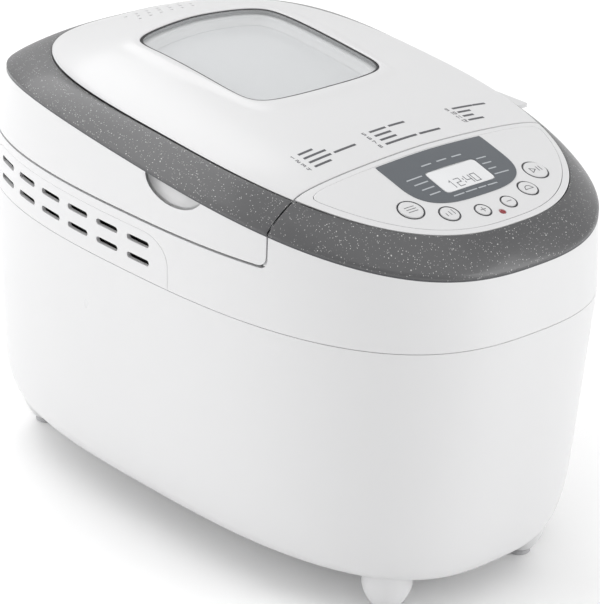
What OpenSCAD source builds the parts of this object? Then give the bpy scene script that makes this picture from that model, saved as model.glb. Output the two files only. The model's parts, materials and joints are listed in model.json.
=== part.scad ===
// Bread machine with a side-hinged lid, twin kneading paddles and a control
// deck at its front end. Millimetres. The origin is the middle of the
// footprint on the worktop: +X is the hinge side, -Y the control end, +Z up.

/* [Casing] */
// Half the casing's width at the main seam
body_half_w = 118.7; // [116:0.1:120]
// Half the casing's length at the main seam
body_half_l = 193.5; // [191:0.1:196]
// Height of the seam between the lower and the upper housing
seam_z = 167.8; // [165:0.1:169]
// Height of the flat underside of the lower housing
floor_z = 22.2; // [20:0.1:24]
// Wall thickness of the moulded shells
wall = 2.4; // [2:0.1:3]
// Inward lean of the bucket's long sides, mm per mm of height
side_taper = 0.077; // [0.06:0.001:0.085]
// Inward lean of the bucket's ends, mm per mm of height
end_taper = 0.072; // [0.06:0.001:0.08]
// Height over which the bucket's bottom edge is rounded
round_h = 51.8; // [46:0.1:56]

/* [Speckled ring] */
// Half the width of the ring's outer edge
ring_half_w = 120.9; // [119.5:0.1:122]
// Half the length of the ring's outer edge
ring_half_l = 190; // [188:0.1:192]
// Half the width of the ring's inner edge
brim_half_w = 103.4; // [101:0.1:105]
// Half the length of the ring's inner edge
brim_half_l = 163.1; // [161:0.1:165]
// Half the length of the ring's outer edge behind its middle
ring_rear_l = 160.2; // [159:0.1:162]
// Half the length of the ring's inner edge behind its middle
brim_rear_l = 158.4; // [157:0.1:159]
// Height of the ring's outer rim face
rim_h = 2.2; // [1.5:0.1:3]

/* [Lid] */
// Where the lid ends and the control deck begins
lid_front_y = -102.5; // [-104:0.1:-101]
// Gap between the lid and the housing
lid_gap = 1; // [0.6:0.1:1.4]
// Height of the lid skirt's lower edge
skirt_z = 202.7; // [202.4:0.1:203.2]
// Distance of the hinge axis from the middle
hinge_x = 112.9; // [112:0.1:113.5]
// Height of the hinge axis
hinge_z = 221.5; // [221.3:0.1:222]
// Radius of the hinge barrel
hinge_r = 8; // [7.5:0.1:8.2]

/* [Window] */
// Half the width of the lid window
window_half_w = 50.8; // [49:0.1:52]
// Half the length of the lid window at its corners
window_half_l = 51.5; // [49:0.1:52.5]
// Middle of the window and of the pan
oven_y = 27.5; // [26:0.1:29]

/* [Oven and pan] */
// Half the inner width of the oven chamber
oven_half_w = 80; // [78:0.5:81]
// Half the inner length of the oven chamber
oven_half_l = 121; // [119:0.5:122]
// Half the width of the bread pan at its mouth
pan_half_w = 62; // [60:0.5:64]
// Half the length of the bread pan at its mouth
pan_half_l = 108; // [107:0.5:109]
// Height of the pan's mouth
pan_top_z = 174; // [172:0.5:175]
// Distance from the middle of the pan to each kneading shaft
shaft_offset = 52; // [50:0.5:54]
// Radius of a drive shaft
drive_r = 5; // [4.5:0.1:5.5]
// Radius of a kneading shaft
kneading_r = 4; // [3.5:0.1:4.5]
// Radial clearance of a shaft in its bush
running_gap = 0.05; // [0.03:0.01:0.08]

/* [Drive] */
// Radius of a driven pulley
pulley_r = 36; // [34:0.5:37]
// Radius of the motor pulley
motor_pulley_r = 8; // [7:0.5:9]
// Middle of the motor, from the origin
motor_y = -137; // [-139:0.5:-135]

/* [Controls] */
// Middle of the display window, from the origin
display_y = -132.5; // [-134:0.1:-131]
// Slope of the control deck, in degrees
deck_slope = 16.1; // [15.5:0.1:17]
// How far a button cap stands proud of the deck
cap_proud = 0.6; // [0.4:0.1:0.8]

/* [Hidden] */
$fn = 48;
tiny = 0.01;
far = 500;

// Outlines: superellipse powers, points around a shell, ring centre
body_power = 2.7;
floor_power = 2.9;
ring_power = 2.61;
brim_power = 2.56;
ring_rear_power = 3.43;
brim_rear_power = 2.795;
window_power = 9;
window_bow_front = 7.5;
window_bow_rear = 5.5;
around = [for (i = [0:59]) i * 6];
brim_y = -11.4;

// Ridge of the lid and deck along the middle: [y, height]
ridge = [[-174.5, 223.8], [-132.5, 236.9], [-105, 244.7], [-75, 251.3],
         [-40, 256.5], [0, 260.9], [35, 264.7], [60, 266.3], [85, 265.9],
         [110, 262.5], [130, 257.4], [147, 250.1]];
crown_power = 1.52;
crown_root = 0.49;

// Band: levels of its rings, and how far its rear bulges over a straight rise
band_steps = [0, 0.25, 0.5, 0.7, 0.85, 1];
rear_bulge = 1.16;
bulge_length = 100;

// Bucket: how far the rounding at its foot comes in
round_w = 33.4;
round_l = 11.3;
round_power = 3.2;

// Levels inside
deck_gap_y = lid_front_y - lid_gap;
bezel_z = skirt_z - 1.5;
liner_z = 203.5;
liner_top_z = 238;
oven_floor_z = 53.5;
oven_corner = 20;
oven_top_z = 200.2;
chassis_z = 46;
tie_belt_z = 31.6;
main_belt_z = 40.4;
belt_h = 6;
coupling_z = 57;
pan_floor_z = 72;
pan_rim_bottom_z = 54;
bail_z = 160;
bail_arm = 60;
bail_r = 2;
bail_y = pan_half_l + 6;
bail_rest = asin((pan_top_z + bail_r + 0.3 - bail_z) / bail_arm);
front_shaft_y = oven_y - shaft_offset;
rear_shaft_y = oven_y + shaft_offset;
seal_gap = 0.3;

// Hinge: the barrel and the lid's two knuckles in it
hinge_front_y = -68;
hinge_rear_y = 74;
knuckle_len = 15;
knuckle_ys = [-50, 50];
hinge_space_top = 231.5;
pin_r = 2.5;

// Lower housing: seam gap, base plate, its screws and the cord's gland
seam_gap = 0.4;
band_h = seam_z - floor_z - seam_gap;
plate_h = 1.6;
plate_top_z = floor_z + wall + plate_h;
base_screw_places = [for (x = [-50, 50], y = [-95, 0, 95]) [x, y]];
screw_r = 1.5;
gland_z = 52;
gland_r = 8;

// Feet
foot_x = 53;
foot_y = 148.2;
foot_top_r = 14;
foot_low_r = 7.5;
pad_h = 3;
pad_r = 6.8;

// Vent panels
vent_zs = [188.7, 177.9];
vent_first_y = -10.5;
vent_pitch = 26.3;
vent_count = 6;
vent_len = 18.4;
vent_h = 3.6;
vent_front_y = -34.6;
vent_rear_y = 146;
vent_top_z = 196;
fit_gap = 0.2;

// Controls: [x, y, cap radius] of each button, and the display
menu_at = [-47.3, -143.2, 6.8];
size_at = [-29.7, -154.4, 5.3];
plus_at = [-9.8, -159.4, 4.1];
minus_at = [9.8, -159.4, 4.1];
crust_at = [29.7, -154.4, 5.3];
start_at = [47.3, -143.2, 6.8];
buttons = [menu_at, size_at, plus_at, minus_at, crust_at, start_at];
led_at = [0, -164.4, 2];
display_w = 37;
display_l = 18.6;
panel_half_w = 39.5;
panel_rear_y = -107.8;
panel_front_y = -149.5;
deck_z = ridge[1][1];
board_drop = 13;
cap_h = 5;

// Oven: bushes and seals, the element's loop, and the probe
bush_r = 8;
seal_r = 9;
element_r = 3.3;
element_z = 84;
element_lead_x = 22;
element_half_w = 71;
element_half_l = 113;
probe_x = 36;
probe_z = 112;
probe_r = 2.6;

// Drive: the motor's shaft, the coupling's dogs and the wing they push
motor_shaft_r = 4;
dog = 5;
wing_half_w = 2.5;
wing_half_l = 15;
wing_gap = 0.3;

// Lid: steam holes, and the hollow under the ring where the fingers go
steam_pitch = 8;
steam_row = 6.5;
steam_r = 1.1;
steam_y = 107.5;
scoop_at = [-119, -38.5, 231];
scoop_size = [13, 24, 14.5];

// ---------- rules for curves ----------

function powered(v, e) = sign(v) * pow(abs(v), e);
function oval(a, b, p, t) = [a * powered(cos(t), 2 / p), b * powered(sin(t), 2 / p)];
function blend(p, q, s) = p + (q - p) * s;
function rim_z(y) =
    let (r = max(0, y))
    232.9 + 0.1038 * y - 0.000243 * y ^ 2 + 0.000683 * r ^ 2 - 0.00000558 * r ^ 3;
function brim_z(y) =
    let (r = max(0, y - brim_y))
    246.1 + 0.0688 * y - 0.000339 * y ^ 2 + 0.0000972 * r ^ 2 - 0.000000305 * r ^ 3;

// Slope of a line of stations at station i, and a smooth curve through them
function station_slope(p, i) =
    let (j = max(i - 1, 0), k = min(i + 1, len(p) - 1))
    (p[k][1] - p[j][1]) / (p[k][0] - p[j][0]);
function through(p, y, i = 0) =
    i < len(p) - 2 && y > p[i + 1][0] ? through(p, y, i + 1) :
    let (h = p[i + 1][0] - p[i][0], s = min(1, max(0, (y - p[i][0]) / h)))
    (2 * s ^ 3 - 3 * s ^ 2 + 1) * p[i][1]
    + (s ^ 3 - 2 * s ^ 2 + s) * h * station_slope(p, i)
    + (3 * s ^ 2 - 2 * s ^ 3) * p[i + 1][1]
    + (s ^ 3 - s ^ 2) * h * station_slope(p, i + 1);

// Height of the lid and deck's outer face
function brim_half(y) =
    let (rear = y > brim_y, p = rear ? brim_rear_power : brim_power,
         v = min(1, abs((y - brim_y) / (rear ? brim_rear_l : brim_half_l))))
    brim_half_w * pow(1 - pow(v, p), 1 / p);
function top_z(x, y) =
    let (u = min(1, abs(x) / max(brim_half(y), tiny)))
    brim_z(y) + (through(ridge, y) - brim_z(y)) * pow(1 - pow(u, crown_power), crown_root);

// Level outline of the bucket, and the band from the seam to the ring
function bucket_ring(z, inset) =
    let (down = seam_z - z,
         f = min(1, max(0, 1 - (z - floor_z) / round_h)),
         in = 1 - pow(max(0, 1 - pow(f, round_power)), 1 / round_power),
         a = body_half_w - side_taper * down - round_w * in - inset,
         b = body_half_l - end_taper * down - round_l * in - inset,
         p = blend(body_power, floor_power, down / (seam_z - floor_z)))
    [for (t = around) let (q = oval(a, b, p, t)) [q[0], q[1], z]];
function ring_foot(t, inset) =
    let (q = t > 180 ? oval(ring_half_w - inset, ring_half_l - inset, ring_power, t)
                     : oval(ring_half_w - inset, ring_rear_l - inset, ring_rear_power, t))
    [q[0], q[1], rim_z(q[1])];
function seam_point(t, inset) =
    let (q = oval(body_half_w - inset, body_half_l - inset, body_power, t))
    [q[0], q[1], seam_z];
function brim_edge(t, s = 1) =
    let (q = t > 180 ? oval(brim_half_w * s, brim_half_l * s, brim_power, t)
                     : oval(brim_half_w * s, brim_rear_l * s, brim_rear_power, t))
    [q[0], q[1] + brim_y];
function brim_point(t, s = 1) =
    let (q = brim_edge(t, s)) [q[0], q[1], top_z(q[0], q[1])];
function band_point(t, s, inset) =
    let (p = seam_point(t, inset), q = ring_foot(t, inset),
         r = min(1, max(0, p[1] / bulge_length)), bulge = 1 + rear_bulge * r * r * (3 - 2 * r),
         across = s > 0 ? pow(s, bulge) : s)
    [blend(p[0], q[0], across), blend(p[1], q[1], across), blend(p[2], q[2], s)];
function band_ring(s, inset) = [for (t = around) band_point(t, s, inset)];

// Outline of the lid window: nearly straight sides, bowed front and back
function window_point(t, grow = 0) =
    let (p = window_power,
         k = pow(pow(abs(cos(t)) / (window_half_w + grow), p)
                 + pow(abs(sin(t)) / (window_half_l + grow), p), -1 / p),
         q = [k * cos(t), k * sin(t)],
         bow = q[1] < 0 ? window_bow_front : window_bow_rear)
    [q[0], oven_y + q[1] + bow * q[1] / window_half_l * (1 - (q[0] / window_half_w) ^ 2)];

// ---------- rules for solids ----------

// Cuts smooth shells as one mesh
module meshed() {
    resize([0, 0, 0]) children();
}

// A closed skin over a pile of level or wavy outlines, lowest first
module loft(rings) {
    n = len(rings[0]);
    k = len(rings);
    function middle(r) = [for (axis = [0:2]) [for (p = r) p[axis]] * [for (p = r) 1 / n]];
    points = concat([for (r = rings) each r], [middle(rings[0]), middle(rings[k - 1])]);
    sides = [for (j = [0:k - 2], i = [0:n - 1])
        let (a = j * n + i, b = j * n + (i + 1) % n)
        each [[a, a + n, b + n], [a, b + n, b]]];
    under = [for (i = [0:n - 1]) [n * k, i, (i + 1) % n]];
    over = [for (i = [0:n - 1]) [n * k + 1, (k - 1) * n + (i + 1) % n, (k - 1) * n + i]];
    polyhedron(points, concat(sides, under, over));
}

// A closed loop of equal cross-sections; each runs anticlockwise seen along
// the way round, which is anticlockwise from above
module hoop(sections) {
    n = len(sections);
    k = len(sections[0]);
    points = [for (s = sections) each s];
    faces = [for (i = [0:n - 1], j = [0:k - 1])
        let (a = i * k + j, b = i * k + (j + 1) % k,
             c = ((i + 1) % n) * k + (j + 1) % k, d = ((i + 1) % n) * k + j)
        each [[a, b, c], [a, c, d]]];
    polyhedron(points, faces);
}

// A skin of the lid surface between two outlines, given as lists of [x, y]
module skin(inner, outer, low, high, steps) {
    function at(i, s, dz) =
        let (p = blend(inner[i], outer[i], s)) [p[0], p[1], top_z(p[0], p[1]) + dz];
    hoop([for (i = [0:len(inner) - 1]) concat(
        [for (j = [0:steps]) at(i, sin(90 * j / steps), low)],
        [for (j = [steps:-1:0]) at(i, sin(90 * j / steps), high)])]);
}

function window_outline(grow = 0) = [for (t = around) window_point(t, grow)];
function brim_outline() = [for (t = around) brim_edge(t)];

// Everything inside the band and under the lid skin
module core(inset, drop) {
    lower = concat([bucket_ring(seam_z - 18, inset)], [for (s = band_steps) band_ring(s, inset)]);
    upper = [for (s = [1, 0.97, 0.88, 0.72, 0.5, 0.25, 0.02])
        [for (t = around) brim_point(t, s) - [0, 0, drop]]];
    loft(concat(lower, upper));
}

module band_wall(inset = 0) {
    difference() {
        loft([for (s = band_steps) band_ring(s, inset)]);
        translate([0, 0, -tiny])
            loft([for (s = concat([-0.05], band_steps, [1.05])) band_ring(s, wall)]);
    }
}

module slab(x0, x1, y0, y1, z0, z1) {
    translate([x0, y0, z0]) cube([x1 - x0, y1 - y0, z1 - z0]);
}

module rounded(half_w, half_l, r) {
    square([2 * half_w, 2 * (half_l - r)], center = true);
    square([2 * (half_w - r), 2 * half_l], center = true);
    for (x = [-1, 1], y = [-1, 1])
        translate([x * (half_w - r), y * (half_l - r)]) circle(r);
}

// Moves a child drawn on the level display plane onto the sloping deck
module on_deck() {
    translate([0, display_y, deck_z]) rotate([deck_slope, 0, 0]) children();
}

// A deck position [x, y] in the deck's own plane: [x, along, proud]
function deck_place(p) =
    let (dy = p[1] - display_y, dz = top_z(p[0], p[1]) - deck_z)
    [p[0], dy * cos(deck_slope) + dz * sin(deck_slope),
     dz * cos(deck_slope) - dy * sin(deck_slope)];

module across_x(x0, x1) {
    translate([x0, 0, 0]) rotate([90, 0, 90]) linear_extrude(x1 - x0) children();
}

// ---------- casing ----------

module lower_housing() {
    color("white") meshed() difference() {
        loft([for (h = [0, 1.5, 5, 12, 24, 42, 90, band_h]) bucket_ring(floor_z + h, 0)]);
        loft([for (h = [wall, 5, 12, 24, 42, band_h + 1]) bucket_ring(floor_z + h, wall)]);
        translate([0, 0, floor_z - 1]) linear_extrude(wall + 2) base_opening();
        translate([0, 0, gland_z]) rotate([-90, 0, 0]) cylinder(h = far, r = gland_r);
    }
}

module base_opening(grow = 0) {
    rounded(62 + grow, 158 + grow, 40 + grow);
}

module upper_housing() {
    color("white") meshed() {
        difference() {
            band_wall();
            slab(-far, far, deck_gap_y, far, bezel_z, far);
            for (side = [-1, 1]) vent_panel_space(side, 0);
        }
        difference() {
            intersection() {
                core(wall - tiny, wall);
                slab(-far, far, -far, far, bezel_z - wall, bezel_z);
            }
            slab(-far, far, -far, deck_gap_y - wall, 0, far);
            translate([0, oven_y, 0]) linear_extrude(far) rounded(oven_half_w + 2, oven_half_l + 2, oven_corner + 2);
        }
        difference() {
            intersection() {
                core(wall - tiny, 2 * wall);
                slab(-far, far, deck_gap_y - wall, deck_gap_y, bezel_z - wall, far);
            }
        }
    }
}

module vent_outline(gap) {
    corner = 16;
    translate([vent_front_y + gap, seam_z - 2])
        square([vent_rear_y - vent_front_y - 2 * gap, vent_top_z - seam_z + 2 - corner]);
    hull() for (y = [vent_front_y + corner + 2, vent_rear_y - corner - 2])
        translate([y, vent_top_z - corner]) circle(corner - gap);
}

module vent_panel_space(side, gap) {
    scale([side, 1, 1]) across_x(60, far) vent_outline(gap);
}

module vent_panel(side) {
    color("whitesmoke") meshed() difference() {
        intersection() {
            band_wall(0.4);
            vent_panel_space(side, fit_gap);
            slab(-far, far, -far, far, seam_z + fit_gap, far);
        }
        scale([side, 1, 1]) across_x(60, far)
            for (z = vent_zs, i = [0:vent_count - 1])
                translate([vent_first_y + i * vent_pitch, z]) vent_slot();
    }
}

module vent_slot() {
    hull() for (y = [-1, 1])
        translate([y * (vent_len - vent_h) / 2, 0]) circle(vent_h / 2, $fn = 12);
}

module left_vent_panel() vent_panel(-1);
module right_vent_panel() vent_panel(1);

module base_plate() {
    boss_r = 33;
    boss_h = 6.5;
    color("gainsboro") difference() {
        union() {
            translate([0, 0, floor_z + wall]) linear_extrude(plate_h) base_opening(6);
            translate([0, 0, floor_z]) linear_extrude(wall) base_opening(-fit_gap);
            translate([0, motor_y, floor_z - boss_h]) boss(boss_r, boss_h - fit_gap);
            intersection() {
                translate([0, motor_y, floor_z - boss_h]) boss(boss_r, boss_h + wall);
                linear_extrude(far) base_opening(-fit_gap);
            }
        }
        translate([0, motor_y, floor_z - boss_h + 2.5]) cylinder(h = far, r = boss_r - 5);
        for (p = base_screw_places)
            translate([p[0], p[1], floor_z - 1]) cylinder(h = 8, r = screw_r + 0.3);
    }
}

// A low round boss with a softened lower edge
module boss(r, h) {
    edge = 4;
    rotate_extrude() {
        translate([0, edge]) square([r, h - edge]);
        square([r - edge, h]);
        intersection() {
            translate([r - edge, edge]) circle(edge);
            square([r, edge]);
        }
    }
}

module foot(x, y) {
    bulge = 2.5;
    steps = 5;
    color("white") meshed() difference() {
        translate([x, y, 0]) rotate_extrude($fn = 28)
            polygon(concat([[0, pad_h]], [for (i = [0:steps]) let (s = i / steps)
                [blend(foot_low_r, foot_top_r, s) + bulge * sin(180 * s), pad_h + s * 20]],
                [[foot_top_r, 34], [0, 34]]));
        loft([for (h = [0, 1.5, 5, 12, 24]) bucket_ring(floor_z + h, 0)]);
    }
}

module front_left_foot() foot(-foot_x, -foot_y);
module front_right_foot() foot(foot_x, -foot_y);
module rear_left_foot() foot(-foot_x, foot_y);
module rear_right_foot() foot(foot_x, foot_y);

module foot_pads() {
    color("dimgray") for (x = [-foot_x, foot_x], y = [-foot_y, foot_y])
        translate([x, y, 0]) rotate_extrude() {
            square([pad_r, pad_h - tiny]);
        }
}

module cord_gland() {
    wall_y = body_half_l - end_taper * (seam_z - gland_z) - 0.3;
    flange_r = 11;
    bore_r = 3.6;
    color("dimgray") translate([0, wall_y, gland_z]) rotate([-90, 0, 0]) difference() {
        union() {
            translate([0, 0, -12]) cylinder(h = 13.5, r = gland_r - fit_gap);
            translate([0, 0, 1.4]) cylinder(h = 3, r = flange_r);
            translate([0, 0, -wall - 5]) cylinder(h = 3, r = flange_r - 1);
        }
        translate([0, 0, -20]) cylinder(h = 40, r = bore_r);
    }
}

module casing_screws() {
    color("silver") for (p = base_screw_places)
        translate([p[0], p[1], floor_z - 2]) {
            cylinder(h = 2, r = 3.2);
            cylinder(h = 14, r = screw_r);
        }
}

// ---------- ring, deck and controls ----------

// Cross-section of the ring at one bearing: rim face, crowned top, underside
function ring_section(t) =
    let (foot_pt = ring_foot(t, 0), inner_foot = ring_foot(t, wall), top_in = brim_point(t),
         top_out = foot_pt + [0, 0, rim_h],
         swell = [0, 0, 1.6], thick = [0, 0, wall])
    [foot_pt, top_out,
     blend(top_out, top_in, 0.3) + swell * 0.85, blend(top_out, top_in, 0.65) + swell * 0.85,
     top_in, top_in - thick,
     blend(top_out, top_in, 0.65) + swell * 0.85 - thick,
     blend(top_out, top_in, 0.3) + swell * 0.85 - thick, inner_foot];

module whole_ring() {
    hoop([for (t = around) [for (i = [8:-1:0]) ring_section(t)[i]]]);
}

module front_ring() {
    color("dimgray") meshed() intersection() {
        whole_ring();
        slab(-far, far, -far, deck_gap_y, 0, far);
    }
}

module control_deck() {
    color("white") meshed() difference() {
        skin([for (t = around) display_point(t)], brim_outline(), -wall, 0, 7);
        slab(-far, far, deck_gap_y, far, 0, far);
        on_deck() {
            for (b = buttons) translate(deck_place(b) - [0, 0, 10]) cylinder(h = 20, r = b[2] + 0.5);
            translate(deck_place(led_at) - [0, 0, 10]) cylinder(h = 20, r = led_at[2] + 0.1);
        }
    }
}

// Outline of the display panel: straight rear edge, round front corners
function panel_point(t) =
    let (middle = display_y + 3, k = 1 / max(abs(cos(t)), abs(sin(t))))
    sin(t) > 0 ? [panel_half_w * k * cos(t), middle + (panel_rear_y - middle) * k * sin(t)]
               : [0, middle] + oval(panel_half_w, middle - panel_front_y, 3.4, t);
function display_point(t, grow = 0) =
    let (k = 1 / max(abs(cos(t)) / (display_w / 2 + grow), abs(sin(t)) / (display_l / 2 + grow)))
    [k * cos(t), display_y + k * sin(t)];

module display_panel() {
    color("slategray")
        skin([for (t = around) display_point(t, 0.3)], [for (t = around) panel_point(t)],
             0, 0.35, 2);
}

module display_window() {
    w = display_w / 2 - 0.3;
    l = display_l / 2 - 0.6;
    color("lightgray") on_deck() slab(-w, w, -l, l, -3.2, -0.2);
}

module lcd_module() {
    color("silver") on_deck() slab(-22, 22, -12, 12, -7.4, -3.4);
}

module power_led() {
    color("red") on_deck() translate(deck_place(led_at) - [0, 0, 5]) {
        cylinder(h = 5.2, r = led_at[2]);
        cylinder(h = 1, r = led_at[2] + 0.5);
    }
}

module control_board() {
    switch_h = board_drop - 9.6;
    color("darkgreen") on_deck() {
        slab(-58, 58, -30, 14, -board_drop - 1.6, -board_drop);
        for (b = buttons) let (p = deck_place(b))
            translate([p[0], p[1], -board_drop - tiny]) cylinder(h = switch_h + p[2], r = 3);
    }
}

module button(b) {
    p = deck_place(b);
    color("white") on_deck() translate(p) {
        translate([0, 0, cap_proud - cap_h]) cylinder(h = cap_h, r = b[2]);
        translate([0, 0, cap_proud - cap_h - 1]) cylinder(h = 1.2, r = b[2] + 1.2);
        translate([0, 0, -8]) cylinder(h = 5, r = 2);
    }
}

module menu_button() button(menu_at);
module size_button() button(size_at);
module plus_button() button(plus_at);
module minus_button() button(minus_at);
module crust_button() button(crust_at);
module start_button() button(start_at);

// ---------- hinge ----------

module along_y(y0, y1, x, z) {
    translate([x, y0, z]) rotate([-90, 0, 0]) linear_extrude(y1 - y0) children();
}

module hinge_cover() {
    nose = 3;
    color("white") difference() {
        union() {
            along_y(hinge_front_y + nose, hinge_rear_y - nose, hinge_x, hinge_z) circle(hinge_r);
            for (end = [[hinge_front_y + nose, -1], [hinge_rear_y - nose, 1]])
                translate([hinge_x, end[0], hinge_z]) rotate([-90 * end[1], 0, 0])
                    rotate_extrude() {
                        square([hinge_r - nose, nose]);
                        intersection() {
                            translate([hinge_r - nose, 0]) circle(nose);
                            square([hinge_r, nose]);
                        }
                    }
            slab(hinge_x - 7, hinge_x + 2, hinge_front_y + nose, hinge_rear_y - nose,
                 bezel_z, hinge_z);
        }
        for (y = knuckle_ys)
            along_y(y - knuckle_len / 2 - fit_gap, y + knuckle_len / 2 + fit_gap, hinge_x, hinge_z)
                circle(hinge_r + 0.6);
        along_y(hinge_front_y + 4, hinge_rear_y - 4, hinge_x, hinge_z) circle(pin_r);
    }
}

module hinge_pin() {
    color("silver") along_y(hinge_front_y + 4, hinge_rear_y - 4, hinge_x, hinge_z) circle(pin_r);
}

// ---------- oven ----------

module oven_chamber() {
    sheet = 0.8;
    color("silver") translate([0, oven_y, 0]) difference() {
        union() {
            translate([0, 0, oven_floor_z - sheet])
                linear_extrude(oven_top_z - oven_floor_z + sheet)
                    rounded(oven_half_w + sheet, oven_half_l + sheet, oven_corner + sheet);
            translate([0, 0, bezel_z - wall - 1]) linear_extrude(sheet)
                rounded(oven_half_w + 7, oven_half_l + 5, oven_corner + 5);
        }
        translate([0, 0, oven_floor_z]) linear_extrude(far) rounded(oven_half_w, oven_half_l, oven_corner);
        for (y = [-shaft_offset, shaft_offset])
            translate([0, y, 0]) cylinder(h = oven_floor_z + 1, r = bush_r + 0.1);
        for (x = [-element_lead_x, element_lead_x])
            translate([x, 0, element_z]) rotate([90, 0, 0]) cylinder(h = far, r = element_r + 0.3);
        translate([probe_x, 0, probe_z]) rotate([90, 0, 0]) cylinder(h = far, r = probe_r + 0.2);
    }
}

module heating_element() {
    r = 24;
    color("dimgray") translate([0, oven_y, element_z]) {
        for (x = [-1, 1]) {
            translate([x * element_half_w, -element_half_l + r, 0]) rotate([-90, 0, 0])
                cylinder(h = 2 * (element_half_l - r), r = element_r);
            for (y = [-1, 1])
                translate([x * (element_half_w - r), y * (element_half_l - r), 0])
                    rotate([0, 0, x > 0 ? (y > 0 ? 0 : -90) : (y > 0 ? 90 : 180)])
                        rotate_extrude(angle = 90) translate([r, 0]) circle(element_r);
            translate([x * (element_half_w - r), -element_half_l, 0]) rotate([0, -90 * x, 0])
                cylinder(h = element_half_w - r - element_lead_x - 8, r = element_r);
            translate([x * (element_lead_x + 8), -element_half_l - 8, 0])
                rotate([0, 0, x > 0 ? 90 : 0])
                    rotate_extrude(angle = 90) translate([8, 0]) circle(element_r);
            translate([x * element_lead_x, -element_half_l - 8, 0]) rotate([90, 0, 0])
                cylinder(h = 10, r = element_r);
        }
        translate([-element_half_w + r, element_half_l, 0]) rotate([0, 90, 0])
            cylinder(h = 2 * (element_half_w - r), r = element_r);
    }
}

module temperature_probe() {
    front = oven_y - oven_half_l;
    color("silver") translate([probe_x, front, probe_z]) rotate([-90, 0, 0]) {
        translate([0, 0, -12]) cylinder(h = 22, r = probe_r);
        translate([0, 0, -4]) cylinder(h = 3, r = probe_r + 3);
    }
}

module thermal_cutout() {
    front = oven_y - oven_half_l - 0.8;
    color("silver") translate([-probe_x, front, probe_z]) rotate([90, 0, 0]) {
        cylinder(h = 1, r = 10);
        cylinder(h = 6, r = 7);
        for (x = [-3, 3]) translate([x, 0, 6]) translate([-0.5, -2.5, 0]) cube([1, 5, 7]);
    }
}

module power_board() {
    color("darkgreen") {
        slab(52, 53.6, -150, -112, 62, 140);
        slab(44, 52, -146, -132, 108, 130);
        slab(42, 52, -128, -116, 74, 96);
        translate([44, -139, 84]) rotate([0, 90, 0]) cylinder(h = 8, r = 7);
    }
}

// ---------- drive ----------

module chassis_plate() {
    color("gainsboro") difference() {
        union() {
            slab(-56, 56, -165, 112, chassis_z, chassis_z + 2);
            for (y = [front_shaft_y, rear_shaft_y])
                translate([0, y, chassis_z]) cylinder(h = 5, r = 14);
            for (p = base_screw_places)
                translate([p[0], p[1], plate_top_z]) cylinder(h = chassis_z - plate_top_z, r = 3.5);
        }
        for (p = base_screw_places)
            translate([p[0], p[1], plate_top_z - 1]) cylinder(h = 12, r = screw_r);
        for (y = [front_shaft_y, rear_shaft_y])
            translate([0, y, 0]) cylinder(h = far, r = bush_r);
        translate([0, motor_y, 0]) cylinder(h = far, r = 12);
    }
}

module drive_bushes() {
    color("darkgoldenrod") for (y = [front_shaft_y, rear_shaft_y])
        translate([0, y, chassis_z]) difference() {
            cylinder(h = coupling_z - 0.5 - chassis_z, r = bush_r);
            translate([0, 0, -1]) cylinder(h = 40, r = drive_r + running_gap);
        }
}

module drive_shaft(y) {
    color("silver") translate([0, y, tie_belt_z - 5]) cylinder(h = coupling_z + 5 - tie_belt_z, r = drive_r);
}
module front_drive_shaft() drive_shaft(front_shaft_y);
module rear_drive_shaft() drive_shaft(rear_shaft_y);

// A pulley with a belt groove for each belt level
module pulley(r, y, bottom, top, levels) {
    lip = 1.5;
    translate([0, y, 0]) difference() {
        translate([0, 0, bottom]) cylinder(h = top - bottom, r = r + lip);
        for (z = levels) translate([0, 0, z - belt_h / 2 - 0.4]) difference() {
            cylinder(h = belt_h + 0.8, r = r + lip + 1);
            translate([0, 0, -1]) cylinder(h = belt_h + 3, r = r);
        }
        translate([0, 0, bottom - 1]) cylinder(h = far, r = drive_r);
    }
}

module pulley_spokes(y, bottom, top) {
    for (i = [0:4]) translate([0, y, bottom]) rotate([0, 0, i * 72])
        translate([pulley_r * 0.58, 0, -1]) cylinder(h = top - bottom + 2, r = pulley_r * 0.22);
}

module front_pulley() {
    bottom = tie_belt_z - belt_h / 2 - 1.4;
    top = main_belt_z + belt_h / 2 + 1.4;
    color("dimgray") difference() {
        pulley(pulley_r, front_shaft_y, bottom, top, [tie_belt_z, main_belt_z]);
        pulley_spokes(front_shaft_y, bottom, top);
    }
}

module rear_pulley() {
    bottom = tie_belt_z - belt_h / 2 - 1.4;
    top = tie_belt_z + belt_h / 2 + 1.4;
    color("dimgray") difference() {
        pulley(pulley_r, rear_shaft_y, bottom, top, [tie_belt_z]);
        pulley_spokes(rear_shaft_y, bottom, top);
    }
}

// Flat belt round two circles on the Y axis, its inside held off the pulleys
module belt(y0, r0, y1, r1, z, thick) {
    gap = 0.15;
    translate([0, 0, z - belt_h / 2]) linear_extrude(belt_h) difference() {
        belt_loop(y0, r0 + gap + thick, y1, r1 + gap + thick);
        belt_loop(y0, r0 + gap, y1, r1 + gap);
    }
}

module belt_loop(y0, r0, y1, r1) {
    lean = asin((r1 - r0) / (y1 - y0));
    translate([0, y0]) circle(r0);
    translate([0, y1]) circle(r1);
    polygon([
        [-r0 * cos(lean), y0 - r0 * sin(lean)], [r0 * cos(lean), y0 - r0 * sin(lean)],
        [r1 * cos(lean), y1 - r1 * sin(lean)], [-r1 * cos(lean), y1 - r1 * sin(lean)]
    ]);
}

module main_belt() {
    color("black") belt(motor_y, motor_pulley_r, front_shaft_y, pulley_r, main_belt_z, 2);
}

module tie_belt() {
    color("black") belt(front_shaft_y, pulley_r, rear_shaft_y, pulley_r, tie_belt_z, 2);
}

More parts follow.
